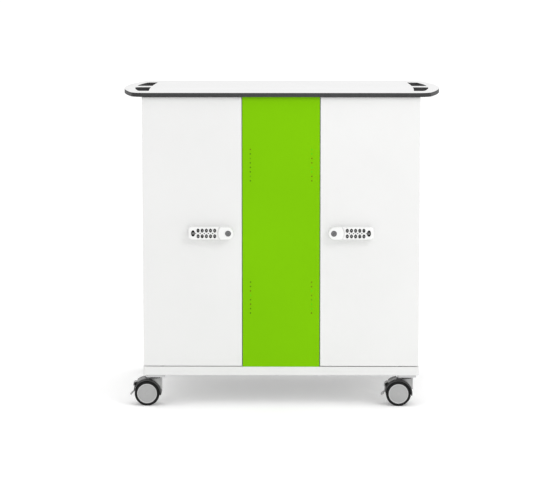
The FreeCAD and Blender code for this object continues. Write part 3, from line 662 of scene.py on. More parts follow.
class Piece:
    """One visible piece: its solids with their finishes, and the CAD body that it rides on."""

    def __init__(self, name: str, body: str, slot: str, *stands_for: str) -> None:
        """Start the piece.

        Args:
            name: Its name.
            body: The CAD body that carries it.
            slot: The record's material slot for its main finish. It is kept on the piece but not used.
            stands_for: The CAD nodes that it takes the place of.
        """
        self.name = name
        self.body = body
        self.slot = slot
        self.stands_for = stands_for
        self.mesh = bmesh.new()
        self.finishes: list[Finish] = []

    def _index(self, finish: Finish) -> int:
        """Return the number of a finish on this piece.

        Args:
            finish: The finish, which is added if it is new.

        Returns:
            The number.
        """
        if finish not in self.finishes:
            self.finishes.append(finish)
        return self.finishes.index(finish)

    def add(self, solid: BMesh, finish: Finish, *copies: Matrix) -> Piece:
        """Add a solid, or copies of it, in one finish.

        Args:
            solid: The solid, which is used up.
            finish: Its finish.
            copies: The transform of each copy, or nothing for one that stays in place.

        Returns:
            This piece.
        """
        index = self._index(finish)
        for face in solid.faces:
            face.material_index = index
        part = bpy.data.meshes.new("part")
        solid.to_mesh(part)
        solid.free()
        for place in copies or (IN_PLACE,):
            copy = part.copy()
            copy.transform(place)
            if place.is_negative:
                copy.flip_normals()
            self.mesh.from_mesh(copy)
            bpy.data.meshes.remove(copy)
        bpy.data.meshes.remove(part)
        return self

    def add_board(self, solid: BMesh, faces: Finish, edges: Finish, axis: int) -> Piece:
        """Add an edged board.

        Args:
            solid: The board, which is used up.
            faces: The finish of its two large faces.
            edges: The finish of its edging.
            axis: The number of the axis that its thickness lies along.

        Returns:
            This piece.
        """
        return self.add(solid, faces).dress(edges, lambda face: abs(face.normal[axis]) < FACE_ON)

    def dress(self, finish: Finish, chosen: Callable[[BMFace], bool]) -> Piece:
        """Give another finish to some of the piece's faces.

        Args:
            finish: The finish.
            chosen: A test that picks the faces.

        Returns:
            This piece.
        """
        index = self._index(finish)
        for face in self.mesh.faces:
            if chosen(face):
                face.material_index = index
        return self

    def done(self) -> None:
        """Finish the piece: shade it, dress it and hang it on its body."""
        for face in self.mesh.faces:
            face.smooth = True
        for edge in self.mesh.edges:
            edge.smooth = not (edge.is_manifold and edge.calc_face_angle() > SHARP)
        data = bpy.data.meshes.new(self.name)
        self.mesh.to_mesh(data)
        self.mesh.free()
        for finish in self.finishes:
            data.materials.append(finish.material())
        made = in_scene(self.name, data)
        made.modifiers.new("flat_faces_first", "WEIGHTED_NORMAL").keep_sharp = True
        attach(made, self.body)
        if self.stands_for:
            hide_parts(*self.stands_for)
        LOG.info("%s: %d faces, rides on %s", self.name, len(data.polygons), self.body)


def pivot_of(joint: str) -> Vector:
    """Return the place of a joint of the frame."""
    return Vector(next(row["pos_m"] for row in frame["joints"] if row["name"] == joint))


def screw_head(place: Vector, facing: Vector, radius: float = 0.0035, height: float = 0.0016) -> BMesh:
    """Return a pan-head screw's head with its socket.

    Args:
        place: The point of the surface that it sits on.
        facing: The direction that it faces.
        radius: Its radius.
        height: How far it stands proud.

    Returns:
        The solid.
    """
    profile = [(radius * across, height * along) for across, along in SCREW_SHARES]
    return turned(profile, place, facing, steps=12)


@dataclass
class Worktop:
    """The solid-core worktop with its white face and four hand slots."""

    end_bow: float = 0.047
    corner_radius: float = 0.042
    rail_width: float = 0.033
    slot_length: float = 0.185
    slot_bridge: float = 0.070
    slot_corner: float = 0.011
    slot_inner_corner: float = 0.005
    slot_inner_bow: float = 0.006
    slot_overlap: float = 0.0028
    face_edge: float = 0.0005
    core_edge: float = 0.0016

    def __post_init__(self) -> None:
        """Take the outer sizes from the frame."""
        low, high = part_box("worktop_laminate")
        self.half_width = (high.x - low.x) / 2
        self.half_depth = (high.y - low.y) / 2
        self.middle = Vector((0, (low.y + high.y) / 2, 0))
        self.bow_radius = self._arc_radius(self.half_depth, self.end_bow)
        self.bow_x = self.half_width - self.bow_radius
        self.inner_radius = self._arc_radius(self.slot_bridge / 2 + self.slot_length, self.slot_inner_bow)
        self.inner_bow_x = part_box("side_panels")[1].x - self.slot_overlap - self.inner_radius

    @staticmethod
    def _arc_radius(reach: float, rise: float) -> float:
        """Return the radius of an arc from half its span and its rise."""
        return (reach**2 + rise**2) / (2 * rise)

    @staticmethod
    def _on_arc(centre_x: float, radius: float, y: float) -> tuple[Vector, float]:
        """Return the point of an arc about a centre on the X axis that has a given distance along Y.

        Args:
            centre_x: The place of the arc's centre.
            radius: The arc's radius.
            y: The point's distance along Y.

        Returns:
            The point, and its bearing from the centre in degrees.
        """
        run = math.sqrt(radius**2 - y**2)
        return Vector((centre_x + run, y, 0)), math.degrees(math.atan2(y, run))

    def _outer_quarter(self, solid: BMesh) -> None:
        """Draw the rear right quarter of the worktop's edge.

        Args:
            solid: The mesh that it is drawn in.
        """
        corner = self.corner_radius
        middle, bearing = self._on_arc(self.bow_x, self.bow_radius - corner, self.half_depth - corner)
        outer = Outline(solid, ORIGIN, Z_AXIS).line(Vector((self.half_width, 0, 0)))
        outer.arc(Vector((self.bow_x, 0, 0)), bearing, steps=14).arc(middle, 90 - bearing, steps=12)
        outer.line(Vector((0, self.half_depth, 0))).close()

    def _slot(self, solid: BMesh) -> None:
        """Draw the rear right hand slot, between the bowed rail and its own bowed inner wall.

        Args:
            solid: The mesh that it is drawn in.
        """
        near, far = self.slot_bridge / 2, self.slot_bridge / 2 + self.slot_length
        corner, ease = self.slot_corner, self.slot_inner_corner
        rail = self.bow_radius - self.rail_width - corner
        first, low = self._on_arc(self.bow_x, rail, near + corner)
        second, high = self._on_arc(self.bow_x, rail, far - corner)
        third, inner_high = self._on_arc(self.inner_bow_x, self.inner_radius + ease, far - ease)
        fourth, inner_low = self._on_arc(self.inner_bow_x, self.inner_radius + ease, near + ease)
        slot = Outline(solid, Vector((fourth.x, near, 0)), Z_AXIS)
        slot.line(Vector((first.x, near, 0))).arc(first, 90 + low, steps=6)
        slot.arc(Vector((self.bow_x, 0, 0)), high - low, steps=10).arc(second, 90 - high, steps=6)
        slot.line(Vector((third.x, far, 0))).arc(third, 90 + inner_high, steps=5)
        slot.arc(Vector((self.inner_bow_x, 0, 0)), inner_low - inner_high, steps=10)
        slot.arc(fourth, 90 - inner_low, steps=5).close()

    def _layer(self, low: float, high: float) -> BMesh:
        """Return one layer of the worktop.

        Args:
            low: The height of its underside.
            high: The height of its top.

        Returns:
            The solid.
        """
        solid = bmesh.new()
        self._outer_quarter(solid)
        self._slot(solid)
        filled(solid)
        for axis in "XY":
            everything = solid.verts[:] + solid.edges[:] + solid.faces[:]
            bmesh.ops.mirror(solid, geom=everything, axis=axis, merge_dist=NEAR_POINT)
        bmesh.ops.remove_doubles(solid, verts=solid.verts, dist=SAME_POINT)
        bmesh.ops.recalc_face_normals(solid, faces=solid.faces)
        bmesh.ops.translate(solid, verts=solid.verts, vec=self.middle + Z_AXIS * low)
        return thickened(solid, Z_AXIS * (high - low))

    def build(self) -> None:
        """Make the dark core with its eased edges, and the white face on it."""
        low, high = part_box("worktop_board")
        core = soften(self._layer(low.z, high.z), self.core_edge, segments=3, keep=level_at(2, low.z))
        Piece("worktop_core", "root", "solid_core", "worktop_board").add(core, SOLID_CORE).done()
        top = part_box("worktop_laminate")[1].z
        face = soften(self._layer(high.z, top), self.face_edge, segments=2, keep=level_at(2, top))
        piece = Piece("worktop_face", "root", "white_laminate", "worktop_laminate")
        piece.add_board(face, TOP_LAMINATE, SOLID_CORE, 2).done()


@dataclass
class Cabinet:
    """The fixed boards of the cabinet, and the screws of its back."""

    edge: float = 0.0009
    screw_inset: float = 0.009
    screws_up: int = 5
    screws_across: int = 4
    corner_share: float = 0.07

    def _spread(self, start: float, end: float, count: int) -> list[float]:
        """Space places evenly along a side, and keep them off its corners.

        Args:
            start: Where the side starts.
            end: Where it ends.
            count: How many places there are.

        Returns:
            The places.
        """
        first = start + (end - start) * self.corner_share
        step = (end - start) * (1 - 2 * self.corner_share) / (count - 1)
        return [first + step * index for index in range(count)]

    def _screws(self) -> None:
        """Make the screws round the edge of the back panel."""
        low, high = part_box("back_panel")
        sides = (low.x + self.screw_inset, high.x - self.screw_inset)
        ends = (low.z + self.screw_inset, high.z - self.screw_inset)
        places = [(x, z) for x in sides for z in self._spread(*ends, self.screws_up)]
        places += [(x, z) for z in ends for x in self._spread(*sides, self.screws_across)]
        copies = [Matrix.Translation((x, 0, z)) for x, z in places]
        head = screw_head(Vector((0, high.y, 0)), Y_AXIS)
        Piece("back_panel_screws", "root", "hinge_steel").add(head, ZINC, *copies).done()

    def build(self) -> None:
        """Make the boards, each with the axis that its thickness lies along, and the screws."""
        white = (WHITE_LAMINATE, WHITE_EDGING)
        for node, axis, (faces, edges), slot in (
            ("side_panels", 0, white, "white_board"),
            ("centre_partitions", 0, white, "white_board"),
            ("tier_shelves", 2, white, "white_board"),
            ("base_board", 2, white, "white_board"),
            ("back_panel", 1, white, "white_board"),
            ("centre_front_panel", 1, (GREEN_LAMINATE, GREEN_EDGING), "green_board"),
        ):
            board = soften(copy_of(node), self.edge)
            Piece(node + "_boards", "root", slot, node).add_board(board, faces, edges, axis).done()
        self._screws()


@dataclass
class ChargeIndicators:
    """The four columns of indicator lamps on the green panel, and the boards and chargers behind them."""

    pitch: float = 0.0133
    bar_radius: float = 0.0015
    lens_radius: float = 0.00175
    lens_height: float = 0.0006
    lens_depth: float = 0.002
    dome_shares: Profile = ((0, 1), (0.6, 0.9), (0.95, 0.45), (1, 0))
    stem_share: float = 0.85
    case_edge: float = 0.0004
    left: tuple[str, str] = ("r.f...f.", "..rg.r..")
    right: tuple[str, str] = ("ggrrggrr", "rrgrfggr")

    def _lens(self, place: Vector) -> BMesh:
        """Return one low domed lens.

        Args:
            place: The point of the panel's front face that it is seated at.

        Returns:
            The solid.
        """
        radius, height = self.lens_radius, self.lens_height
        profile = [(radius * across, height * along) for across, along in self.dome_shares]
        profile += [(radius * self.stem_share, -self.lens_depth), (0, -self.lens_depth)]
        return turned(profile, place, -Y_AXIS, steps=16)

    def build(self) -> None:
        """Make the lamps, the upper and the lower column on each side."""
        low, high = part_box("charge_indicators")
        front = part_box("centre_front_panel")[0].y
        lamps = Piece("charge_lamps", "root", "light_pipe", "charge_indicators")
        # The solids of the lamps have six sides, so they reach less far along X than their radius.
        x = high.x - self.bar_radius * math.cos(math.pi / 6)
        for side, (upper, lower) in ((Side.LEFT, self.left), (Side.RIGHT, self.right)):
            tops = (high.z - self.bar_radius, low.z + self.bar_radius + self.pitch * (len(lower) - 1))
            for letters, top in zip((upper, lower), tops):
                for index, letter in enumerate(letters):
                    lens = self._lens(Vector((x, front, top - index * self.pitch)))
                    lamps.add(lens, LAMP_FINISHES[Lamp(letter)], side.place)
        lamps.done()
        for node, finish, slot in (
            ("indicator_boards", BOARD_GREEN, "circuit_board"),
            ("charging_units", CASE_GREY, "charger_case"),
        ):
            solid = soften(copy_of(node), self.case_edge, segments=1)
            Piece(node + "_dressed", "root", slot, node).add(solid, finish).done()


@dataclass
class TabletRacks:
    """The racks that stand the tablets on edge, with their rounded dividers."""

    edge: float = 0.0009

    def build(self) -> None:
        """Make the racks."""
        solid = soften(copy_of("tablet_racks"), self.edge)
        Piece("tablet_rack_set", "root", "rack", "tablet_racks").add(solid, RACK_PLASTIC).done()


@dataclass
class MainsInlet:
    """The mains inlet in the back panel."""

    edge: float = 0.0006
    pins_half_width: float = 0.0165
    pins_half_height: float = 0.0075
    floor_depth: float = 0.0052

    def build(self) -> None:
        """Make the inlet's housing and its pins."""
        low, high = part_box("mains_inlet")
        middle_z = (low.z + high.z) / 2

        def on_pin(face: BMFace) -> bool:
            """Tell whether a face lies on one of the contact pins.

            Args:
                face: The face.

            Returns:
                Whether it does.
            """
            place = face.calc_center_median()
            inside = abs(place.x) < self.pins_half_width and abs(place.z - middle_z) < self.pins_half_height
            return inside and low.y + self.floor_depth < place.y < high.y - self.floor_depth

        piece = Piece("mains_inlet_socket", "root", "black_plastic", "mains_inlet")
        piece.add(soften(copy_of("mains_inlet"), self.edge), BLACK_PLASTIC).dress(BRASS, on_pin).done()


@dataclass
class DoorGlides:
    """The two round glides on the base that carry the doors when they are shut."""

    edge: float = 0.0006
    ease_share: float = 0.3

    def build(self) -> None:
        """Make the glides."""
        low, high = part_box("door_glides")
        radius, height, edge = (high.y - low.y) / 2, high.z - low.z, self.edge
        ease = edge * self.ease_share
        profile = [(0, 0), (radius, 0), (radius, height - edge), (radius - ease, height - ease)]
        profile += [(radius - edge, height), (0, height)]
        glide = turned(profile, Vector((high.x - radius, (low.y + high.y) / 2, low.z)), Z_AXIS, steps=32)
        piece = Piece("glide_buttons", "root", "black_plastic", "door_glides")
        piece.add(glide, BLACK_PLASTIC, *(side.place for side in Side)).done()


@dataclass
class Door:
    """One door with its leaf of the continuous hinge."""

    side: Side
    edge: float = 0.0012
    back_edge: float = 0.0004
    leaf_width: float = 0.015
    leaf_thickness: float = 0.0015
    leaf_edge: float = 0.0002
    knuckle_radius: float = 0.003
    knuckle_rounding: float = 0.0003
    knuckle_gap: float = 0.0003
    knuckle_lap: float = 0.001
    knuckle_count: int = 13
    screw_radius: float = 0.003
    screw_height: float = 0.00012
    screw_across_share: float = 0.45
    screw_up_shares: tuple[float, float] = (0.9, 1.1)

    def _leaf(self, piece: Piece, first: int, leaf_y: float, facing: Vector) -> None:
        """Add one hinge leaf with its own knuckles and screws, drawn at the right and placed at its side.

        Args:
            piece: The piece that it belongs to.
            first: The number of its lowest knuckle.
            leaf_y: The depth of the leaf's front face.
            facing: The direction that its screws face.
        """
        low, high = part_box("right_door_hinge_leaf")
        outer_x = low.x + self.leaf_width
        radius, rounding = self.knuckle_radius, self.knuckle_rounding
        axis = Vector((high.x - radius, high.y - radius, 0))
        pitch = (high.z - low.z) / self.knuckle_count
        back_y = leaf_y + self.leaf_thickness
        parts = [block((low.x, leaf_y, low.z), (outer_x, back_y, high.z), self.leaf_edge, segments=1)]
        depth = pitch - self.knuckle_gap
        rounded = both_ends([(0, 0), (radius - rounding, 0), (radius, rounding)], depth)
        for index in range(first, self.knuckle_count, 2):
            bottom = low.z + index * pitch + self.knuckle_gap / 2
            inside = (outer_x - self.knuckle_lap, leaf_y, bottom)
            parts.append(block(inside, (axis.x, back_y, bottom + depth)))
            parts.append(turned(rounded, axis + Z_AXIS * bottom, Z_AXIS, steps=20))
        surface_y = leaf_y if facing.y < 0 else back_y
        for index in range(self.knuckle_count // 2):
            height = low.z + pitch * (index * 2 + self.screw_up_shares[first])
            place = Vector((low.x + self.leaf_width * self.screw_across_share, surface_y, height))
            parts.append(screw_head(place, facing, self.screw_radius, self.screw_height))
        for part in parts:
            piece.add(part, HINGE_ENAMEL, self.side.place)
        piece.done()

    def build(self) -> None:
        """Make the door, its hinge leaf and the cabinet's leaf."""
        name = self.side.value + "_door"
        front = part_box(name)[0].y
        near = front + self.edge
        panel = copy_of(name)
        soften(panel, self.edge, segments=3, keep=lambda edge: any(vert.co.y < near for vert in edge.verts))
        soften(panel, self.back_edge, segments=1, keep=behind(front + 4 * self.edge))
        board = Piece(name + "_panel", name, "white_board", name)
        board.add_board(panel, WHITE_LAMINATE, WHITE_EDGING, 1).done()
        moving = Piece(name + "_hinge", name, "hinge_steel", name + "_hinge_leaf")
        self._leaf(moving, 1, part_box(name)[1].y, Y_AXIS)
        fixed = Piece(self.side.value + "_cabinet_hinge", "root", "hinge_steel", "carcass_hinge_leaves")
        self._leaf(fixed, 0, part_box("side_panels")[0].y - self.leaf_thickness, -Y_AXIS)


@dataclass
class KeypadLock:
    """One keypad lock: its housing, turning lever, key cylinder, cam and push keys."""

    side: Side
    half_height: float = 0.0185
    keypad_reach: float = 0.1173
    lever_reach: float = 0.0157
    keypad_corner: float = 0.009
    base_thickness: float = 0.006
    keypad_depth: float = 0.022
    lever_depth: float = 0.027
    swing_radius: float = 0.030
    seam_gap: float = 0.0006
    rim: float = 0.0028
    seam_rim: float = 0.0008
    base_rim: float = 0.0012
    pocket_gap: float = 0.00035
    pocket_depth: float = 0.0063
    bead_height: float = 0.0005
    bead_shares: Profile = ((0, 0), (0, 0.8), (0.6, 1), (1.3, 0.7), (1.8, 0), (0, 0))
    barrel_radius: float = 0.009
    thread_depth: float = 0.0004
    thread_pitch: float = 0.001
    spindle_hole_radius: float = 0.0042
    spindle_hole_depth: float = 0.002
    nut_radius: float = 0.0145
    nut_height: float = 0.004
    nut_edge: float = 0.0006
    seat_edge: float = 0.0004
    seat_slack: float = 1.02
    cylinder_radius: float = 0.0085
    cylinder_gap: float = 0.00015
    cylinder_edge: float = 0.0008
    plug_share: float = 0.76
    plug_gap: float = 0.0001
    plug_setback: float = 0.0004
    plug_depth: float = 0.006
    keyway_half_width: float = 0.001
    keyway_reach: float = 0.0038
    keyway_shoulder: float = 0.4
    keyway_tip: float = 0.6
    keyway_degrees: float = 35.0
    cam_edge: float = 0.0004
    cam_screw_radius: float = 0.005
    cam_screw_height: float = 0.0025
    key_rim: float = 0.0009
    mark_radius: float = 0.0021
    arrow_share: float = 1.2
    arrow_away: float = 3.5
    ring_share: float = 0.5
    ring_hole_share: float = 0.7
    numeral_share: float = 0.85
    print_height: float = 0.00015
    digits: str = "0123456789"

    def __post_init__(self) -> None:
        """Take the turning axis and the depths from the frame."""
        low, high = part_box("right_key_cylinder")
        self.axis_x, self.axis_z = (low.x + high.x) / 2, (low.z + high.z) / 2
        door_low, door_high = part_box("right_door")
        self.door_front, self.door_back = door_low.y, door_high.y
        self.keypad_front = self.door_front - self.keypad_depth
        self.lever_front = self.door_front - self.lever_depth
        self.name = self.side.value
        self.door = self.name + "_door"
        self.place = self.side.place
        self.keys = [*self.digits, "clear"]

    def _at(self, x: float, y: float, z: float) -> Vector:
        """Return a point measured from the lock's turning axis, at a depth."""
        return Vector((self.axis_x + x, y, self.axis_z + z))

    def _key(self, key: str) -> tuple[Vector, float, float]:
        """Return one key's middle and half sizes along X and Z."""
        low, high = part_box(f"{self.name}_key_{key}")
        return (low + high) / 2, (high.x - low.x) / 2, (high.z - low.z) / 2

    def _keypad_outline(self, solid: BMesh) -> None:
        """Draw the keypad's front outline, which stops at the seam to the lever.

        Args:
            solid: The mesh that it is drawn in.
        """
        half, y = self.half_height, self.keypad_front
        swing = self.swing_radius + self.seam_gap
        seam, bearing = math.sqrt(swing**2 - half**2), math.degrees(math.asin(half / swing))
        outline = self._keypad_end(Outline(solid, self._at(seam, y, -half), -Y_AXIS), y)
        outline.line(self._at(seam, y, half)).arc(self._at(0, y, 0), -2 * bearing, steps=16).close()

    def _keypad_end(self, outline: Outline, y: float) -> Outline:
        """Draw the lower edge and the far end with its two rounded corners.

        Args:
            outline: The outline, which stands at the near end of the lower edge.
            y: The depth of its plane.

        Returns:
            The outline, which then stands at the far end of the upper edge.
        """
        half, corner, end = self.half_height, self.keypad_corner, self.keypad_reach
        turn = end - corner
        outline.line(self._at(turn, y, -half)).arc(self._at(turn, y, corner - half), 90, steps=8)
        outline.line(self._at(end, y, half - corner))
        return outline.arc(self._at(turn, y, half - corner), 90, steps=8)

    def _base(self) -> BMesh:
        """Return the base on the door, with a rounded front edge. It runs under the lever to its round end.

        Returns:
            The solid.
        """
        half, y = self.half_height, self.door_front
        start = half - self.lever_reach
        solid = bmesh.new()
        outline = self._keypad_end(Outline(solid, self._at(start, y, -half), -Y_AXIS), y)
        outline.line(self._at(start, y, half)).arc(self._at(start, y, 0), 180, steps=24).close()
        thickened(filled(solid), -Y_AXIS * self.base_thickness)
        return soften(solid, self.base_rim, segments=3, keep=in_front_of(y - self.base_thickness / 2))

    def _keypad(self) -> BMesh:
        """Return the raised keypad with a pocket for every key.

        Returns:
            The solid.
        """
        solid, front = bmesh.new(), self.keypad_front
        middle = self._at(0, front, 0)
        self._keypad_outline(solid)
        border = solid.edges[:]
        for key in self.keys:
            centre, half_width, half_height = self._key(key)
            place = Vector((abs(centre.x), front, centre.z))
            oval(solid, place, half_width + self.pocket_gap, half_height + self.pocket_gap)
        pockets = [edge for edge in solid.edges if edge not in border]
        filled(solid)
        wall = self.keypad_depth - self.base_thickness + self.base_rim / 2
        for edges, depth in ((border, wall), (pockets, self.pocket_depth)):
            made = bmesh.ops.extrude_edge_only(solid, edges=edges)["geom"]
            ends = [item for item in made if isinstance(item, BMVert)]
            bmesh.ops.translate(solid, verts=ends, vec=Y_AXIS * depth)
            drawn = [item for item in made if isinstance(item, BMEdge)]
            floor = [edge for edge in drawn if all(vert in ends for vert in edge.verts)]
            bmesh.ops.edgeloop_fill(solid, edges=floor)
        bmesh.ops.recalc_face_normals(solid, faces=solid.faces)

        def on_seam(edge: BMEdge) -> bool:
            """Tell whether an edge of the front runs along the seam to the lever."""
            swings = [(vert.co - middle).length - self.swing_radius for vert in edge.verts]
            return max(abs(swing - self.seam_gap) for swing in swings) < self.seam_gap / 4

        def on_rim(edge: BMEdge) -> bool:
            """Tell whether an edge of the front runs along its outer rim, and not round a pocket.

            Args:
                edge: The edge.

            Returns:
                Whether it does.
            """
            rise = max(abs(vert.co.z - middle.z) for vert in edge.verts)
            run = max(vert.co.x - middle.x for vert in edge.verts)
            outer = rise > self.half_height - self.keypad_corner or run > self.keypad_reach - self.seam_gap
            walled = any(abs(face.normal.y) < SIDEWAYS for face in edge.link_faces)
            inside = all(self._in_pocket(vert.co) for vert in edge.verts)
            return level_at(1, front)(edge) and walled and outer and not inside and not on_seam(edge)

        soften(solid, self.rim, segments=4, keep=on_rim)
        return soften(solid, self.seam_rim, segments=2, keep=on_seam)

    def _in_pocket(self, point: Vector) -> bool:
        """Tell whether a point of the front lies in or on the edge of a key's pocket.

        Args:
            point: The point.

        Returns:
            Whether it does.
        """
        for key in self.keys:
            centre, half_width, half_height = self._key(key)
            across = (point.x - abs(centre.x)) / (half_width + 2 * self.pocket_gap)
            rise = (point.z - centre.z) / (half_height + 2 * self.pocket_gap)
            if math.hypot(across, rise) < 1:
                return True
        return False

    def _pocket_bead(self, key: str) -> tuple[BMesh, Matrix]:
        """Return the low raised bead round a key's pocket.

        Args:
            key: The key's name.

        Returns:
            The bead as a unit ring, and its place and size.
        """
        centre, half_width, half_height = self._key(key)
        height, step = self.bead_height, self.bead_height / half_width
        section = [(1 + step * out, height * up) for out, up in self.bead_shares]
        size = Matrix.Diagonal((half_width + self.pocket_gap, 1, half_height + self.pocket_gap, 1))
        place = Matrix.Translation((centre.x, self.keypad_front, centre.z)) @ size
        return turned(section, ORIGIN, -Y_AXIS, steps=28), place

    def _barrel(self) -> BMesh:
        """Return the threaded barrel that goes through the door.

        Returns:
            The solid.
        """
        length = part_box("right_lock_housing")[1].y - self.door_front
        crest, pitch = self.barrel_radius, self.thread_pitch
        groove, hole = crest - self.thread_depth, self.spindle_hole_radius
        sunk = length - self.spindle_hole_depth
        profile = [(0, 0), (groove, 0)]
        for index in range(int(length / pitch) - 1):
            profile += [(crest, (index + 0.5) * pitch), (groove, (index + 1) * pitch)]
        profile += [(groove, length), (hole, length), (hole, sunk), (0, sunk)]
        return turned(profile, self._at(0, self.door_front, 0), Y_AXIS, steps=24)

    def _nut(self) -> BMesh:
        """Return the six-sided nut that clamps the lock, on the back of the door.

        Returns:
            The solid.
        """
        radius, height = self.nut_radius, self.nut_height
        place = Matrix.Translation(self._at(0, self.door_back + height / 2, 0)) @ UPRIGHT.inverted()
        solid = bmesh.new()
        bmesh.ops.create_cone(
            solid, cap_ends=True, segments=6, radius1=radius, radius2=radius, depth=height, matrix=place
        )
        return soften(solid, self.nut_edge)

    def _housing(self) -> None:
        """Make the housing with its keypad, and the barrel and nut that hold it to the door."""
        piece = Piece(self.name + "_lock_body", self.door, "lock_white", self.name + "_lock_housing")
        piece.add(self._base(), LOCK_ENAMEL, self.place).add(self._keypad(), LOCK_ENAMEL, self.place)
        for key in self.keys:
            bead, place = self._pocket_bead(key)
            piece.add(bead, LOCK_ENAMEL, place)
        piece.add(self._barrel(), ZINC, self.place).add(self._nut(), ZINC, self.place).done()

    def _marks(self) -> None:
        """Make the small dark diamonds between the two rows of keys, and the arrow at the clear key."""
        piece = Piece(self.name + "_lock_marks", self.door, "key_black")
        columns = sorted({round(abs(self._key(key)[0].x), 5) for key in self.digits})
        radius, front = self.mark_radius, self.keypad_front
        for near, far in zip(columns, columns[1:]):
            mark = bmesh.new()
            oval(mark, Vector(((near + far) / 2, front, self.axis_z)), radius, radius, segments=4)
            piece.add(thickened(filled(mark), -Y_AXIS * self.print_height), MARK_PRINT, self.place)
        arrow = bmesh.new()
        tip = UPRIGHT @ Matrix.Rotation(-math.pi / 2, 4, "Z")
        beside = Matrix.Translation((columns[-1] + self.arrow_away * radius, front, self.axis_z))
        bmesh.ops.create_circle(arrow, segments=3, radius=radius * self.arrow_share, matrix=beside @ tip)
        piece.add(thickened(filled(arrow), -Y_AXIS * self.print_height), MARK_PRINT, self.place).done()

    def _lever(self) -> None:
        """Make the turning lever with its round seat for the key cylinder."""
        half, front = self.half_height, self.lever_front
        middle = self._at(0, front, 0)
        seam = math.sqrt(self.swing_radius**2 - half**2)
        bearing = math.degrees(math.asin(half / self.swing_radius))
        end = half - self.lever_reach
        solid = bmesh.new()
        outline = Outline(solid, self._at(seam, front, -half), -Y_AXIS).arc(middle, 2 * bearing, steps=16)
        outline.line(self._at(end, front, half)).arc(self._at(end, front, 0), 180, steps=28).close()
        radius = self.cylinder_radius + self.cylinder_gap
        oval(solid, middle, radius, radius, segments=40)
        thickened(filled(solid), Y_AXIS * (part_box("right_turning_lever")[1].y - front))
        on_front = level_at(1, front)
        reach = radius * self.seat_slack

        def at_seat(edge: BMEdge) -> bool:
            """Tell whether an edge of the front lies on the cylinder's seat."""
            return on_front(edge) and all((vert.co - middle).length < reach for vert in edge.verts)

        soften(solid, self.rim, segments=4, keep=lambda edge: on_front(edge) and not at_seat(edge))
        soften(solid, self.seat_edge, segments=2, keep=at_seat)
        node = self.name + "_turning_lever"
        piece = Piece(self.name + "_lock_lever", self.name + "_lever", "lock_white", node)
        piece.add(solid, LOCK_ENAMEL, self.place).done()

    def _plug(self, front: float) -> BMesh:
        """Return the cylinder's plug with its keyway.

        Args:
            front: The depth of its face.

        Returns:
            The solid.
        """
        radius = self.cylinder_radius * self.plug_share
        half, reach = self.keyway_half_width, self.keyway_reach
        tip, shoulder = half * self.keyway_tip, reach * self.keyway_shoulder
        solid = bmesh.new()
        oval(solid, self._at(0, front, 0), radius, radius, segments=32)
        slot = Outline(solid, self._at(-half, front, -reach), -Y_AXIS)
        for x, z in ((half, -reach), (half, shoulder), (tip, reach), (-tip, reach), (-half, shoulder)):
            slot.line(self._at(x, front, z))
        slot.close()
        return thickened(filled(solid), Y_AXIS * (self.plug_depth - self.plug_setback))

    def _cylinder(self) -> None:
        """Make the key cylinder with its plug and keyway."""
        low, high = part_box("right_key_cylinder")
        radius, edge = self.cylinder_radius, self.cylinder_edge
        length, depth = high.y - low.y, self.plug_depth
        bore = radius * self.plug_share + self.plug_gap
        profile = [(bore, edge / 4), (bore + edge / 4, 0), (radius - edge, 0), (radius, edge)]
        profile += [(radius, length), (0, length), (0, depth), (bore, depth), (bore, edge / 4)]
        centre = Matrix.Translation(self._at(0, 0, 0))
        turn = centre @ Matrix.Rotation(math.radians(self.keyway_degrees), 4, "Y") @ centre.inverted()
        node = self.name + "_key_cylinder"
        piece = Piece(self.name + "_lock_cylinder", self.name + "_cylinder", "lock_steel", node)
        piece.add(turned(profile, self._at(0, low.y, 0), Y_AXIS, steps=40), LOCK_STEEL, self.place)
        piece.add(self._plug(low.y + self.plug_setback), PLUG_STEEL, self.place @ turn).done()

    def _cam(self) -> None:
        """Make the locking cam on its spindle, with the screw that holds it."""
        node = self.name + "_locking_cam"
        seat = self._at(0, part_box(node)[1].y, 0)
        screw = screw_head(seat, Y_AXIS, self.cam_screw_radius, self.cam_screw_height)
        piece = Piece(self.name + "_lock_cam", self.name + "_lever", "lock_steel", node)
        piece.add(soften(copy_of(node), self.cam_edge), ZINC).add(screw, ZINC, self.place).done()

    def _clear_mark(self, radius: float) -> BMesh:
        """Return the ring that is printed on the clear key, drawn at the origin.

        Args:
            radius: Its outer radius.

        Returns:
            The solid.
        """
        ring = bmesh.new()
        for share in (1.0, self.ring_hole_share):
            oval(ring, ORIGIN, radius * share, radius * share)
        return thickened(filled(ring), -Y_AXIS * self.print_height)

    def _push_key(self, key: str) -> None:
        """Make one push key with its numeral, or the clear key with its ring.

        Args:
            key: The key's name.
        """
        node = f"{self.name}_key_{key}"
        low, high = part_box(node)
        centre, half_width, half_height = self._key(key)
        face = Vector((centre.x, low.y, centre.z))
        solid = bmesh.new()
        oval(solid, face, half_width, half_height)
        thickened(filled(solid), Y_AXIS * (high.y - low.y))
        soften(solid, self.key_rim, segments=3, keep=level_at(1, low.y))
        piece = Piece(f"{self.name}_push_key_{key}", f"{self.name}_button_{key}", "key_black", node)
        piece.add(solid, KEY_BLACK)
        place = Matrix.Translation(face)
        if key == "clear":
            piece.add(self._clear_mark(half_width * self.ring_share), KEY_PRINT, place)
        else:
            piece.add(numeral(key, half_height * self.numeral_share), KEY_PRINT, place @ UPRIGHT)
        piece.done()

    def build(self) -> None:
        """Make the whole lock."""
        self._housing()
        self._marks()
        self._lever()
        self._cylinder()
        self._cam()
        for key in self.keys:
            self._push_key(key)


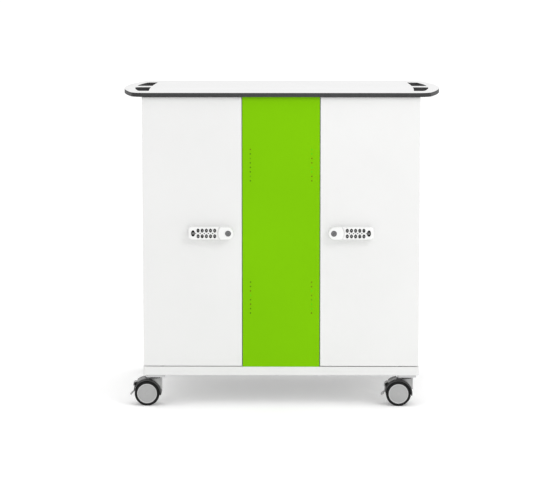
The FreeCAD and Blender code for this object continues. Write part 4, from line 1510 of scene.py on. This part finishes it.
@dataclass
class Castor:
    """One twin-wheel castor: plate, swivel bracket, hood, wheels and, at the front, the brake.

    The fields with pairs hold a profile. Its steps are measured from a form's radius and its end, apart
    from those of the disc's face and hub and of the stud, which give a radius and a step from the end.
    """

    name: str
    wheel_radius: float = 0.0375
    hub_radius: float = 0.0296
    half_width: float = 0.030
    web_half: float = 0.006
    wheel_gap: float = 0.0005
    axle_radius: float = 0.004
    disc_face: Profile = ((0, 0.0012), (0.0045, 0.0012), (0.005, 0.0018))
    disc_rim: Profile = ((0.0032, 0.0014), (0.0024, 0.0004), (0.0018, 0), (0.0006, 0), (0, 0.0006))
    disc_inside: Profile = ((0, 0.0024), (0.003, 0.0008), (0.005, 0.005))
    disc_hub: Profile = ((0.012, 0.006), (0.011, 0), (0, 0))
    bright_rim: tuple[float, float] = (0.003, 0.0012)
    tyre_bead: Profile = ((0, 0.0014), (0.0008, 0.0004), (0.0022, 0))
    tyre_outside: Profile = ((0.0036, 0.0002), (0.0016, 0.001), (0.0004, 0.0026), (0, 0.005))
    tyre_inside: Profile = ((0, 0.004), (0.0008, 0.0014), (0.0028, 0))
    hood_inner: float = 0.0387
    hood_outer: float = 0.0420
    hood_steps: Profile = (
        (0.0014, 0), (0.0014, 0.0035), (0, 0.0043), (0, 0.0105), (0.0007, 0.0112), (0.0007, 0.0128),
        (0, 0.0135),
    )
    hood_degrees: tuple[float, float] = (-8.0, 165.0)
    hood_lap: float = 0.0005
    hood_end: float = 0.0002
    tail_degrees: float = 131.8
    sweep_step: float = 4.0
    boss_radius: float = 0.012
    boss_edge: float = 0.0008
    rest_radius: float = 0.0485
    rest_half: float = 0.012
    rest_rim: float = 0.0012
    rest_edge: float = 0.0008
    rest_sunk: float = 0.001
    rest_degrees: tuple[float, float] = (97.0, 131.0)
    rib_height: float = 0.0012
    rib_count: int = 6
    rib_share: float = 0.6
    rib_start: float = 1.5
    rib_room: float = 2.0
    rib_taper: float = 1.4
    bracket_radius: float = 0.016
    bracket_reach: float = 0.019
    bracket_half: float = 0.010
    bracket_foot: float = 0.048
    bracket_corner: float = 0.003
    bracket_edge: float = 0.0012
    bracket_sunk: float = 0.0003
    mount_height: float = 0.008
    pad_height: float = 0.005
    pad_inset: float = 0.0002
    pad_edge: float = 0.0005
    plate_half: float = 0.028
    plate_corner: float = 0.006
    plate_edge: float = 0.0004
    ring_radius: float = 0.017
    ring_steps: Profile = (
        (0.002, 0), (0, 0.0008), (0, 0.0024), (0.001, 0.0028), (0.001, 0.0036), (0, 0.004), (0, 0.0054),
        (0.001, 0.006),
    )
    stud_steps: Profile = ((0.0052, 0.006), (0.005, 0.0118), (0, 0.0118))
    screw_inset: float = 0.009
    screw_radius: float = 0.004
    screw_height: float = 0.0013
    lobe_radius: float = 0.0095
    lobe_edge: Profile = ((0.0014, 0), (0.0004, 0.0004), (0, 0.0014))
    arm_width: float = 0.011
    paddle_width: float = 0.022
    pedal_thickness: float = 0.0045
    pedal_edge: float = 0.0014
    heel_radius: float = 0.0086
    heel_offset: tuple[float, float, float] = (-0.0006, 0, 0.0036)
    # The pedal's run from the lobe to the toe, measured along X and Z from the axle.
    pedal_line: Profile = ((-0.0375, 0.021), (-0.0395, 0.0055), (-0.044, 0.0005), (-0.0515, -0.0072))

    def __post_init__(self) -> None:
        """Take the wheels' centre, the swivel's axis and the body's names from the frame."""
        low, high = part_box("castor_wheels_" + self.name)
        self.centre = Vector(((low.x + high.x) / 2, (low.y + high.y) / 2, self.wheel_radius))
        self.swivel = pivot_of("castor_swivel_" + self.name)
        self.body = "swivel_" + self.name
        self.braked = self.name.startswith("front")

    def _spoke(self, radius: float, degrees: float, across: float) -> Vector:
        """Return a point at a radius and a bearing round the axle, off the wheels' middle."""
        turn = math.radians(degrees)
        return self.centre + Vector((radius * math.cos(turn), across, radius * math.sin(turn)))

    def _swept(self, section: Profile, start: float, end: float, edge: float = 0.0004) -> BMesh:
        """Return a section swept about the axle.

        Args:
            section: Pairs of a radius and a distance across from the wheels' middle.
            start: The bearing that the sweep starts at.
            end: The bearing that it ends at.
            edge: The width of the rounding of its edges.

        Returns:
            The solid.
        """
        solid = bmesh.new()
        corners = [solid.verts.new(self._spoke(radius, start, across)) for radius, across in section]
        face = solid.faces.new(corners)
        steps = max(int((end - start) / self.sweep_step), 2)
        turn = math.radians(end - start)
        bmesh.ops.spin(solid, geom=[face], cent=self.centre, axis=-Y_AXIS, angle=turn, steps=steps)
        bmesh.ops.recalc_face_normals(solid, faces=solid.faces)
        return soften(solid, edge)

    def _wheels(self) -> None:
        """Make the two wheels with their treads and hub discs, and the axle between them."""
        inner, hub, tread = self.web_half + self.wheel_gap, self.hub_radius, self.wheel_radius
        width = self.half_width - inner
        disc = [(radius, width - depth) for radius, depth in self.disc_face]
        disc += [(hub - inset, width - depth) for inset, depth in self.disc_rim]
        disc += [(hub - inset, height) for inset, height in self.disc_inside]
        disc += self.disc_hub
        tyre = [(hub + out, width - depth) for out, depth in self.tyre_bead]
        tyre += [(tread - inset, width - depth) for inset, depth in self.tyre_outside]
        tyre += [(tread - inset, height) for inset, height in self.tyre_inside]
        tyre += [(hub, 0), tyre[0]]
        node = "castor_wheels_" + self.name
        piece = Piece(self.name + "_wheel_pair", "wheels_" + self.name, "castor_wheel", node)
        for way in (-1, 1):
            start = self.centre + Y_AXIS * way * inner
            piece.add(turned(disc, start, Y_AXIS * way, steps=72), HUB_GREY)
            piece.add(turned(tyre, start, Y_AXIS * way, steps=72), TREAD)
        inset, depth = self.bright_rim

        def on_rim(face: BMFace) -> bool:
            """Tell whether a face lies on the raised rim of a hub disc."""
            out = face.calc_center_median() - self.centre
            return abs(out.y) > self.half_width - depth and hub - inset < math.hypot(out.x, out.z) < hub

        piece.dress(HUB_RIM, on_rim)
        axle = both_ends([(0, 0), (self.axle_radius, 0)], 2 * inner)
        piece.add(turned(axle, self.centre - Y_AXIS * inner, Y_AXIS, steps=24), ZINC).done()

    def _hood_section(self, near: float) -> list[tuple[float, float]]:
        """Return the section of the rear half of the hood.

        Args:
            near: How far off the hood's middle it starts.

        Returns:
            Pairs of a radius and a distance across, from there outwards and back.
        """
        inner, outer, far = self.hood_inner, self.hood_outer, self.half_width
        steps = [(outer - drop, far - along) for drop, along in self.hood_steps]
        return [(inner, near), (inner, far), *steps, (outer, near)]

    def _hood(self) -> None:
        """Make the hood with the web between the wheels, and the brake's ribbed foot rest."""
        front, tail = self.hood_degrees
        main_end = self.tail_degrees if self.braked else tail
        piece = Piece(self.name + "_hood", self.body, "castor_black", "castor_frame_" + self.name)
        half = self._hood_section(0.0)
        other_half = [(radius, -across) for radius, across in reversed(half[1:-1])]
        piece.add(self._swept(half + other_half, front, main_end), HOOD_BLACK)
        if self.braked:
            side = self._hood_section(self.web_half + self.wheel_gap)
            for way in (-1, 1):
                strip = [(radius, way * across) for radius, across in side]
                piece.add(self._swept(strip, main_end, tail), HOOD_BLACK)
        web = bmesh.new()
        near = self.centre - Y_AXIS * self.web_half
        outline = Outline(web, near, -Y_AXIS)
        outline.line(self._spoke(self.hood_inner + self.hood_lap, front, -self.web_half))
        outline.arc(near, main_end - front, steps=36).close()
        piece.add(thickened(filled(web), Y_AXIS * 2 * self.web_half), HOOD_BLACK)
        radius, edge = self.boss_radius, self.boss_edge
        boss = both_ends([(0, 0), (radius - edge, 0), (radius, edge)], 2 * self.web_half)
        piece.add(turned(boss, near, Y_AXIS, steps=32), HOOD_BLACK)

        def on_side(face: BMFace) -> bool:
            """Tell whether a face lies on one of the hood's flat ends."""
            return abs(face.calc_center_median().y - self.centre.y) > self.half_width - self.hood_end

        # The flat ends get the paler hood finish, a painted reflection of the light on them.
        piece.dress(HOOD_SIDE_PAINTED_REFLECTION, on_side)
        if self.braked:
            self._foot_rest(piece)
        piece.done()

    def _foot_rest(self, piece: Piece) -> None:
        """Add the ribbed foot rest to the hood.

        Args:
            piece: The hood's piece.
        """
        top, half, (front, rear) = self.rest_radius, self.rest_half, self.rest_degrees
        foot, floor, rim = self.hood_outer - self.rest_sunk, top - self.rib_height, self.rest_rim
        body = [(foot, -half), (floor, -half), (floor, half), (foot, half)]
        piece.add(self._swept(body, front, rear, self.rest_edge), BRACKET_GREY)
        pitch = (rear - front - self.rib_room) / self.rib_count
        low, narrow = half - rim, half - self.rib_taper * rim
        rib = [(floor - rim, -low), (top, -narrow), (top, narrow), (floor - rim, low)]
        for index in range(self.rib_count):
            start = front + self.rib_start + index * pitch
            piece.add(self._swept(rib, start, start + pitch * self.rib_share, rim / 5), REST_GREY)

    def _bracket(self) -> None:
        """Make the swivel bracket, shaped to sit on the hood."""
        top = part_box("castor_frame_" + self.name)[1].z
        half, reach, corner = self.bracket_half, self.bracket_reach, self.bracket_corner
        meet = math.sqrt(self.bracket_radius**2 - half**2)
        bearing = math.degrees(math.atan2(half, meet))
        middle = Vector((self.swivel.x, self.swivel.y, top))

        def at(along: float, across: float) -> Vector:
            """Return a point of the bracket's top, measured from the swivel's axis."""
            return middle + Vector((along, across, 0))

        solid = bmesh.new()
        outline = Outline(solid, at(meet, -half), Z_AXIS)
        outline.line(at(reach - corner, -half)).arc(at(reach - corner, corner - half), 90, steps=5)
        outline.line(at(reach, half - corner)).arc(at(reach - corner, half - corner), 90, steps=5)
        outline.line(at(meet, half)).arc(middle, 360 - 2 * bearing, steps=40).close()
        thickened(filled(solid), -Z_AXIS * (top - self.bracket_foot))
        for vert in solid.verts:
            if vert.co.z < top - SAME_POINT:
                along = min(vert.co.x - self.centre.x, self.hood_outer)
                hood_top = self.centre.z + math.sqrt(self.hood_outer**2 - along**2)
                vert.co.z = max(self.bracket_foot, hood_top - self.bracket_sunk)
        soften(solid, self.bracket_edge, segments=3, keep=level_at(2, top))
        piece = Piece(self.name + "_bracket", self.body, "castor_grey", "castor_frame_" + self.name)
        piece.add(solid, BRACKET_GREY).done()

    def _mount(self) -> None:
        """Make the spacer pad, the top plate with its screws, and the swivel ring and stud."""
        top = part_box("base_board")[0].z
        joint, bottom = top - self.pad_height, top - self.mount_height
        middle, half, ring = Vector((self.swivel.x, self.swivel.y, 0)), self.plate_half, self.ring_radius
        piece = Piece(self.name + "_mount", "root", "castor_steel", "castor_plates")
        for low, high, size, edge, finish in (
            (joint, top, half - self.pad_inset, self.pad_edge, PAD_GREY),
            (bottom, joint, half, self.plate_edge, ZINC),
        ):
            board = block(middle + Vector((-size, -size, low)), middle + Vector((size, size, high)))
            soften(board, self.plate_corner, segments=5, keep=lambda side: not is_level(side))
            piece.add(soften(board, edge, segments=2, keep=is_level), finish)
        collar = [(0, 0)] + [(ring - inset, -down) for inset, down in self.ring_steps]
        collar += [(radius, -down) for radius, down in self.stud_steps]
        piece.add(turned(collar, middle + Z_AXIS * bottom, Z_AXIS, steps=48), HOOD_BLACK)
        screw = screw_head(middle + Z_AXIS * bottom, -Z_AXIS, self.screw_radius, self.screw_height)
        places = (self.screw_inset - half, half - self.screw_inset)
        piece.add(screw, ZINC, *(Matrix.Translation((x, y, 0)) for x in places for y in places)).done()

    def _pedal(self) -> None:
        """Make the brake pedal: lobe on its pin, arm and wide paddle."""
        pivot = pivot_of("brake_press_" + self.name)
        node = "brake_pedal_" + self.name
        piece = Piece(self.name + "_brake_pedal", "brake_" + self.name, "castor_grey", node)
        width, heel = self.arm_width, pivot + Vector(self.heel_offset)
        for place, radius in ((pivot, self.lobe_radius), (heel, self.heel_radius)):
            drum = both_ends([(0, 0)] + [(radius - inset, along) for inset, along in self.lobe_edge], width)
            piece.add(turned(drum, place - Y_AXIS * (width / 2), Y_AXIS, steps=40), BRACKET_GREY)
        points = [self.centre + Vector((along, 0, rise)) for along, rise in self.pedal_line]
        for start, end, across in zip(points, points[1:], (width, width, self.paddle_width)):
            piece.add(self._bar(start, end, across), BRACKET_GREY)
        piece.done()

    def _bar(self, start: Vector, end: Vector, width: float) -> BMesh:
        """Return a flat bar with rounded edges between two points.

        Args:
            start: The point that it starts at.
            end: The point that it goes to.
            width: Its width along Y.

        Returns:
            The solid.
        """
        run, half, deep = end - start, width / 2, self.pedal_thickness / 2
        solid = block((-half, -deep, 0), (half, deep, run.length), self.pedal_edge, segments=3)
        ahead = run.normalized()
        turn = Matrix(((0, -ahead.z, ahead.x), (1, 0, 0), (0, ahead.x, ahead.z))).to_4x4()
        bmesh.ops.transform(solid, matrix=Matrix.Translation(start) @ turn, verts=solid.verts)
        bmesh.ops.recalc_face_normals(solid, faces=solid.faces)
        return solid

    def build(self) -> None:
        """Make the whole castor."""
        self._wheels()
        self._hood()
        self._bracket()
        self._mount()
        if self.braked:
            self._pedal()


@dataclass
class Studio:
    """The pale floor, the soft lights and the camera."""

    floor_size: float = 60.0
    focal_length: float = 145.6
    sensor_width: float = 36.0
    view_depth: float = 200.0
    camera_place: tuple[float, float, float] = (0.055, -6.973, 1.350)
    pitch_degrees: float = 7.223
    yaw_degrees: float = 0.499
    sky: tuple[float, float] = (0.62, 1.3)
    aim: tuple[float, float, float] = (0, 0, 0.55)
    lights: tuple[tuple[str, tuple[float, float, float], float, float], ...] = (
        ("key_light", (1.6, -2.0, 2.1), 0.9, 14.0),
        ("top_light", (0.1, 0.3, 3.4), 2.5, 8.0),
        ("front_light", (0.6, -4.6, 1.1), 2.4, 4.0),
    )

    def _floor(self) -> None:
        """Make the floor."""
        mesh = bpy.data.meshes.new("studio_floor")
        solid = bmesh.new()
        bmesh.ops.create_grid(solid, x_segments=4, y_segments=4, size=self.floor_size)
        solid.to_mesh(mesh)
        solid.free()
        mesh.materials.append(FLOOR_WHITE.material())
        floor = in_scene("studio_floor", mesh)

    def _light(self, name: str, place: Vector, size: float, watts: float) -> None:
        """Hang one square soft light.

        Args:
            name: Its name.
            place: Where it hangs. It faces the middle of the cart.
            size: Its width.
            watts: Its power.
        """
        data = bpy.data.lights.new(name, "AREA")
        data.shape = "SQUARE"
        data.size = size
        data.energy = watts
        light = in_scene(name, data)
        light.location = place
        light.rotation_euler = (Vector(self.aim) - place).to_track_quat("-Z", "Y").to_euler()

    def _sky(self) -> None:
        """Light the studio from all round, brightest overhead."""
        world = bpy.data.worlds.new("studio")
        world.use_nodes = True
        tree = world.node_tree
        where = tree.nodes.new("ShaderNodeTexCoord").outputs["Generated"]
        parts = add_node(tree, "SeparateXYZ", {"Vector": where})
        low, high = self.sky
        rise = add_node(tree, "MapRange", {"To Min": low, "To Max": high, "Value": parts.outputs["Z"]})
        white = {"Color": (1.0, 1.0, 1.0, 1.0), "Strength": rise.outputs["Result"]}
        connect(tree, tree.nodes["Background"], white)
        bpy.context.scene.world = world

    def _camera(self) -> None:
        """Set the camera up at the photograph's viewing angle."""
        data = bpy.data.cameras.new("camera")
        data.sensor_width = self.sensor_width
        data.lens = self.focal_length
        data.dof.use_dof = False
        data.clip_end = self.view_depth
        camera = in_scene("camera", data)
        camera.location = self.camera_place
        camera.rotation_euler = (math.radians(90 - self.pitch_degrees), 0, math.radians(self.yaw_degrees))
        bpy.context.scene.camera = camera

    def build(self) -> None:
        """Set the studio up."""
        self._floor()
        self._sky()
        bpy.context.scene.view_settings.view_transform = "Standard"
        for name, place, size, watts in self.lights:
            self._light(name, Vector(place), size, watts)
        self._camera()


def main() -> None:
    """Build the cart and the studio round it."""
    logging.basicConfig(level=logging.INFO, format="%(name)s: %(message)s")
    Worktop().build()
    Cabinet().build()
    ChargeIndicators().build()
    TabletRacks().build()
    MainsInlet().build()
    DoorGlides().build()
    for side in Side:
        Door(side).build()
        KeypadLock(side).build()
    for name in ("front_left", "front_right", "rear_left", "rear_right"):
        Castor(name).build()
    Studio().build()


if __name__ == "__main__":
    main()
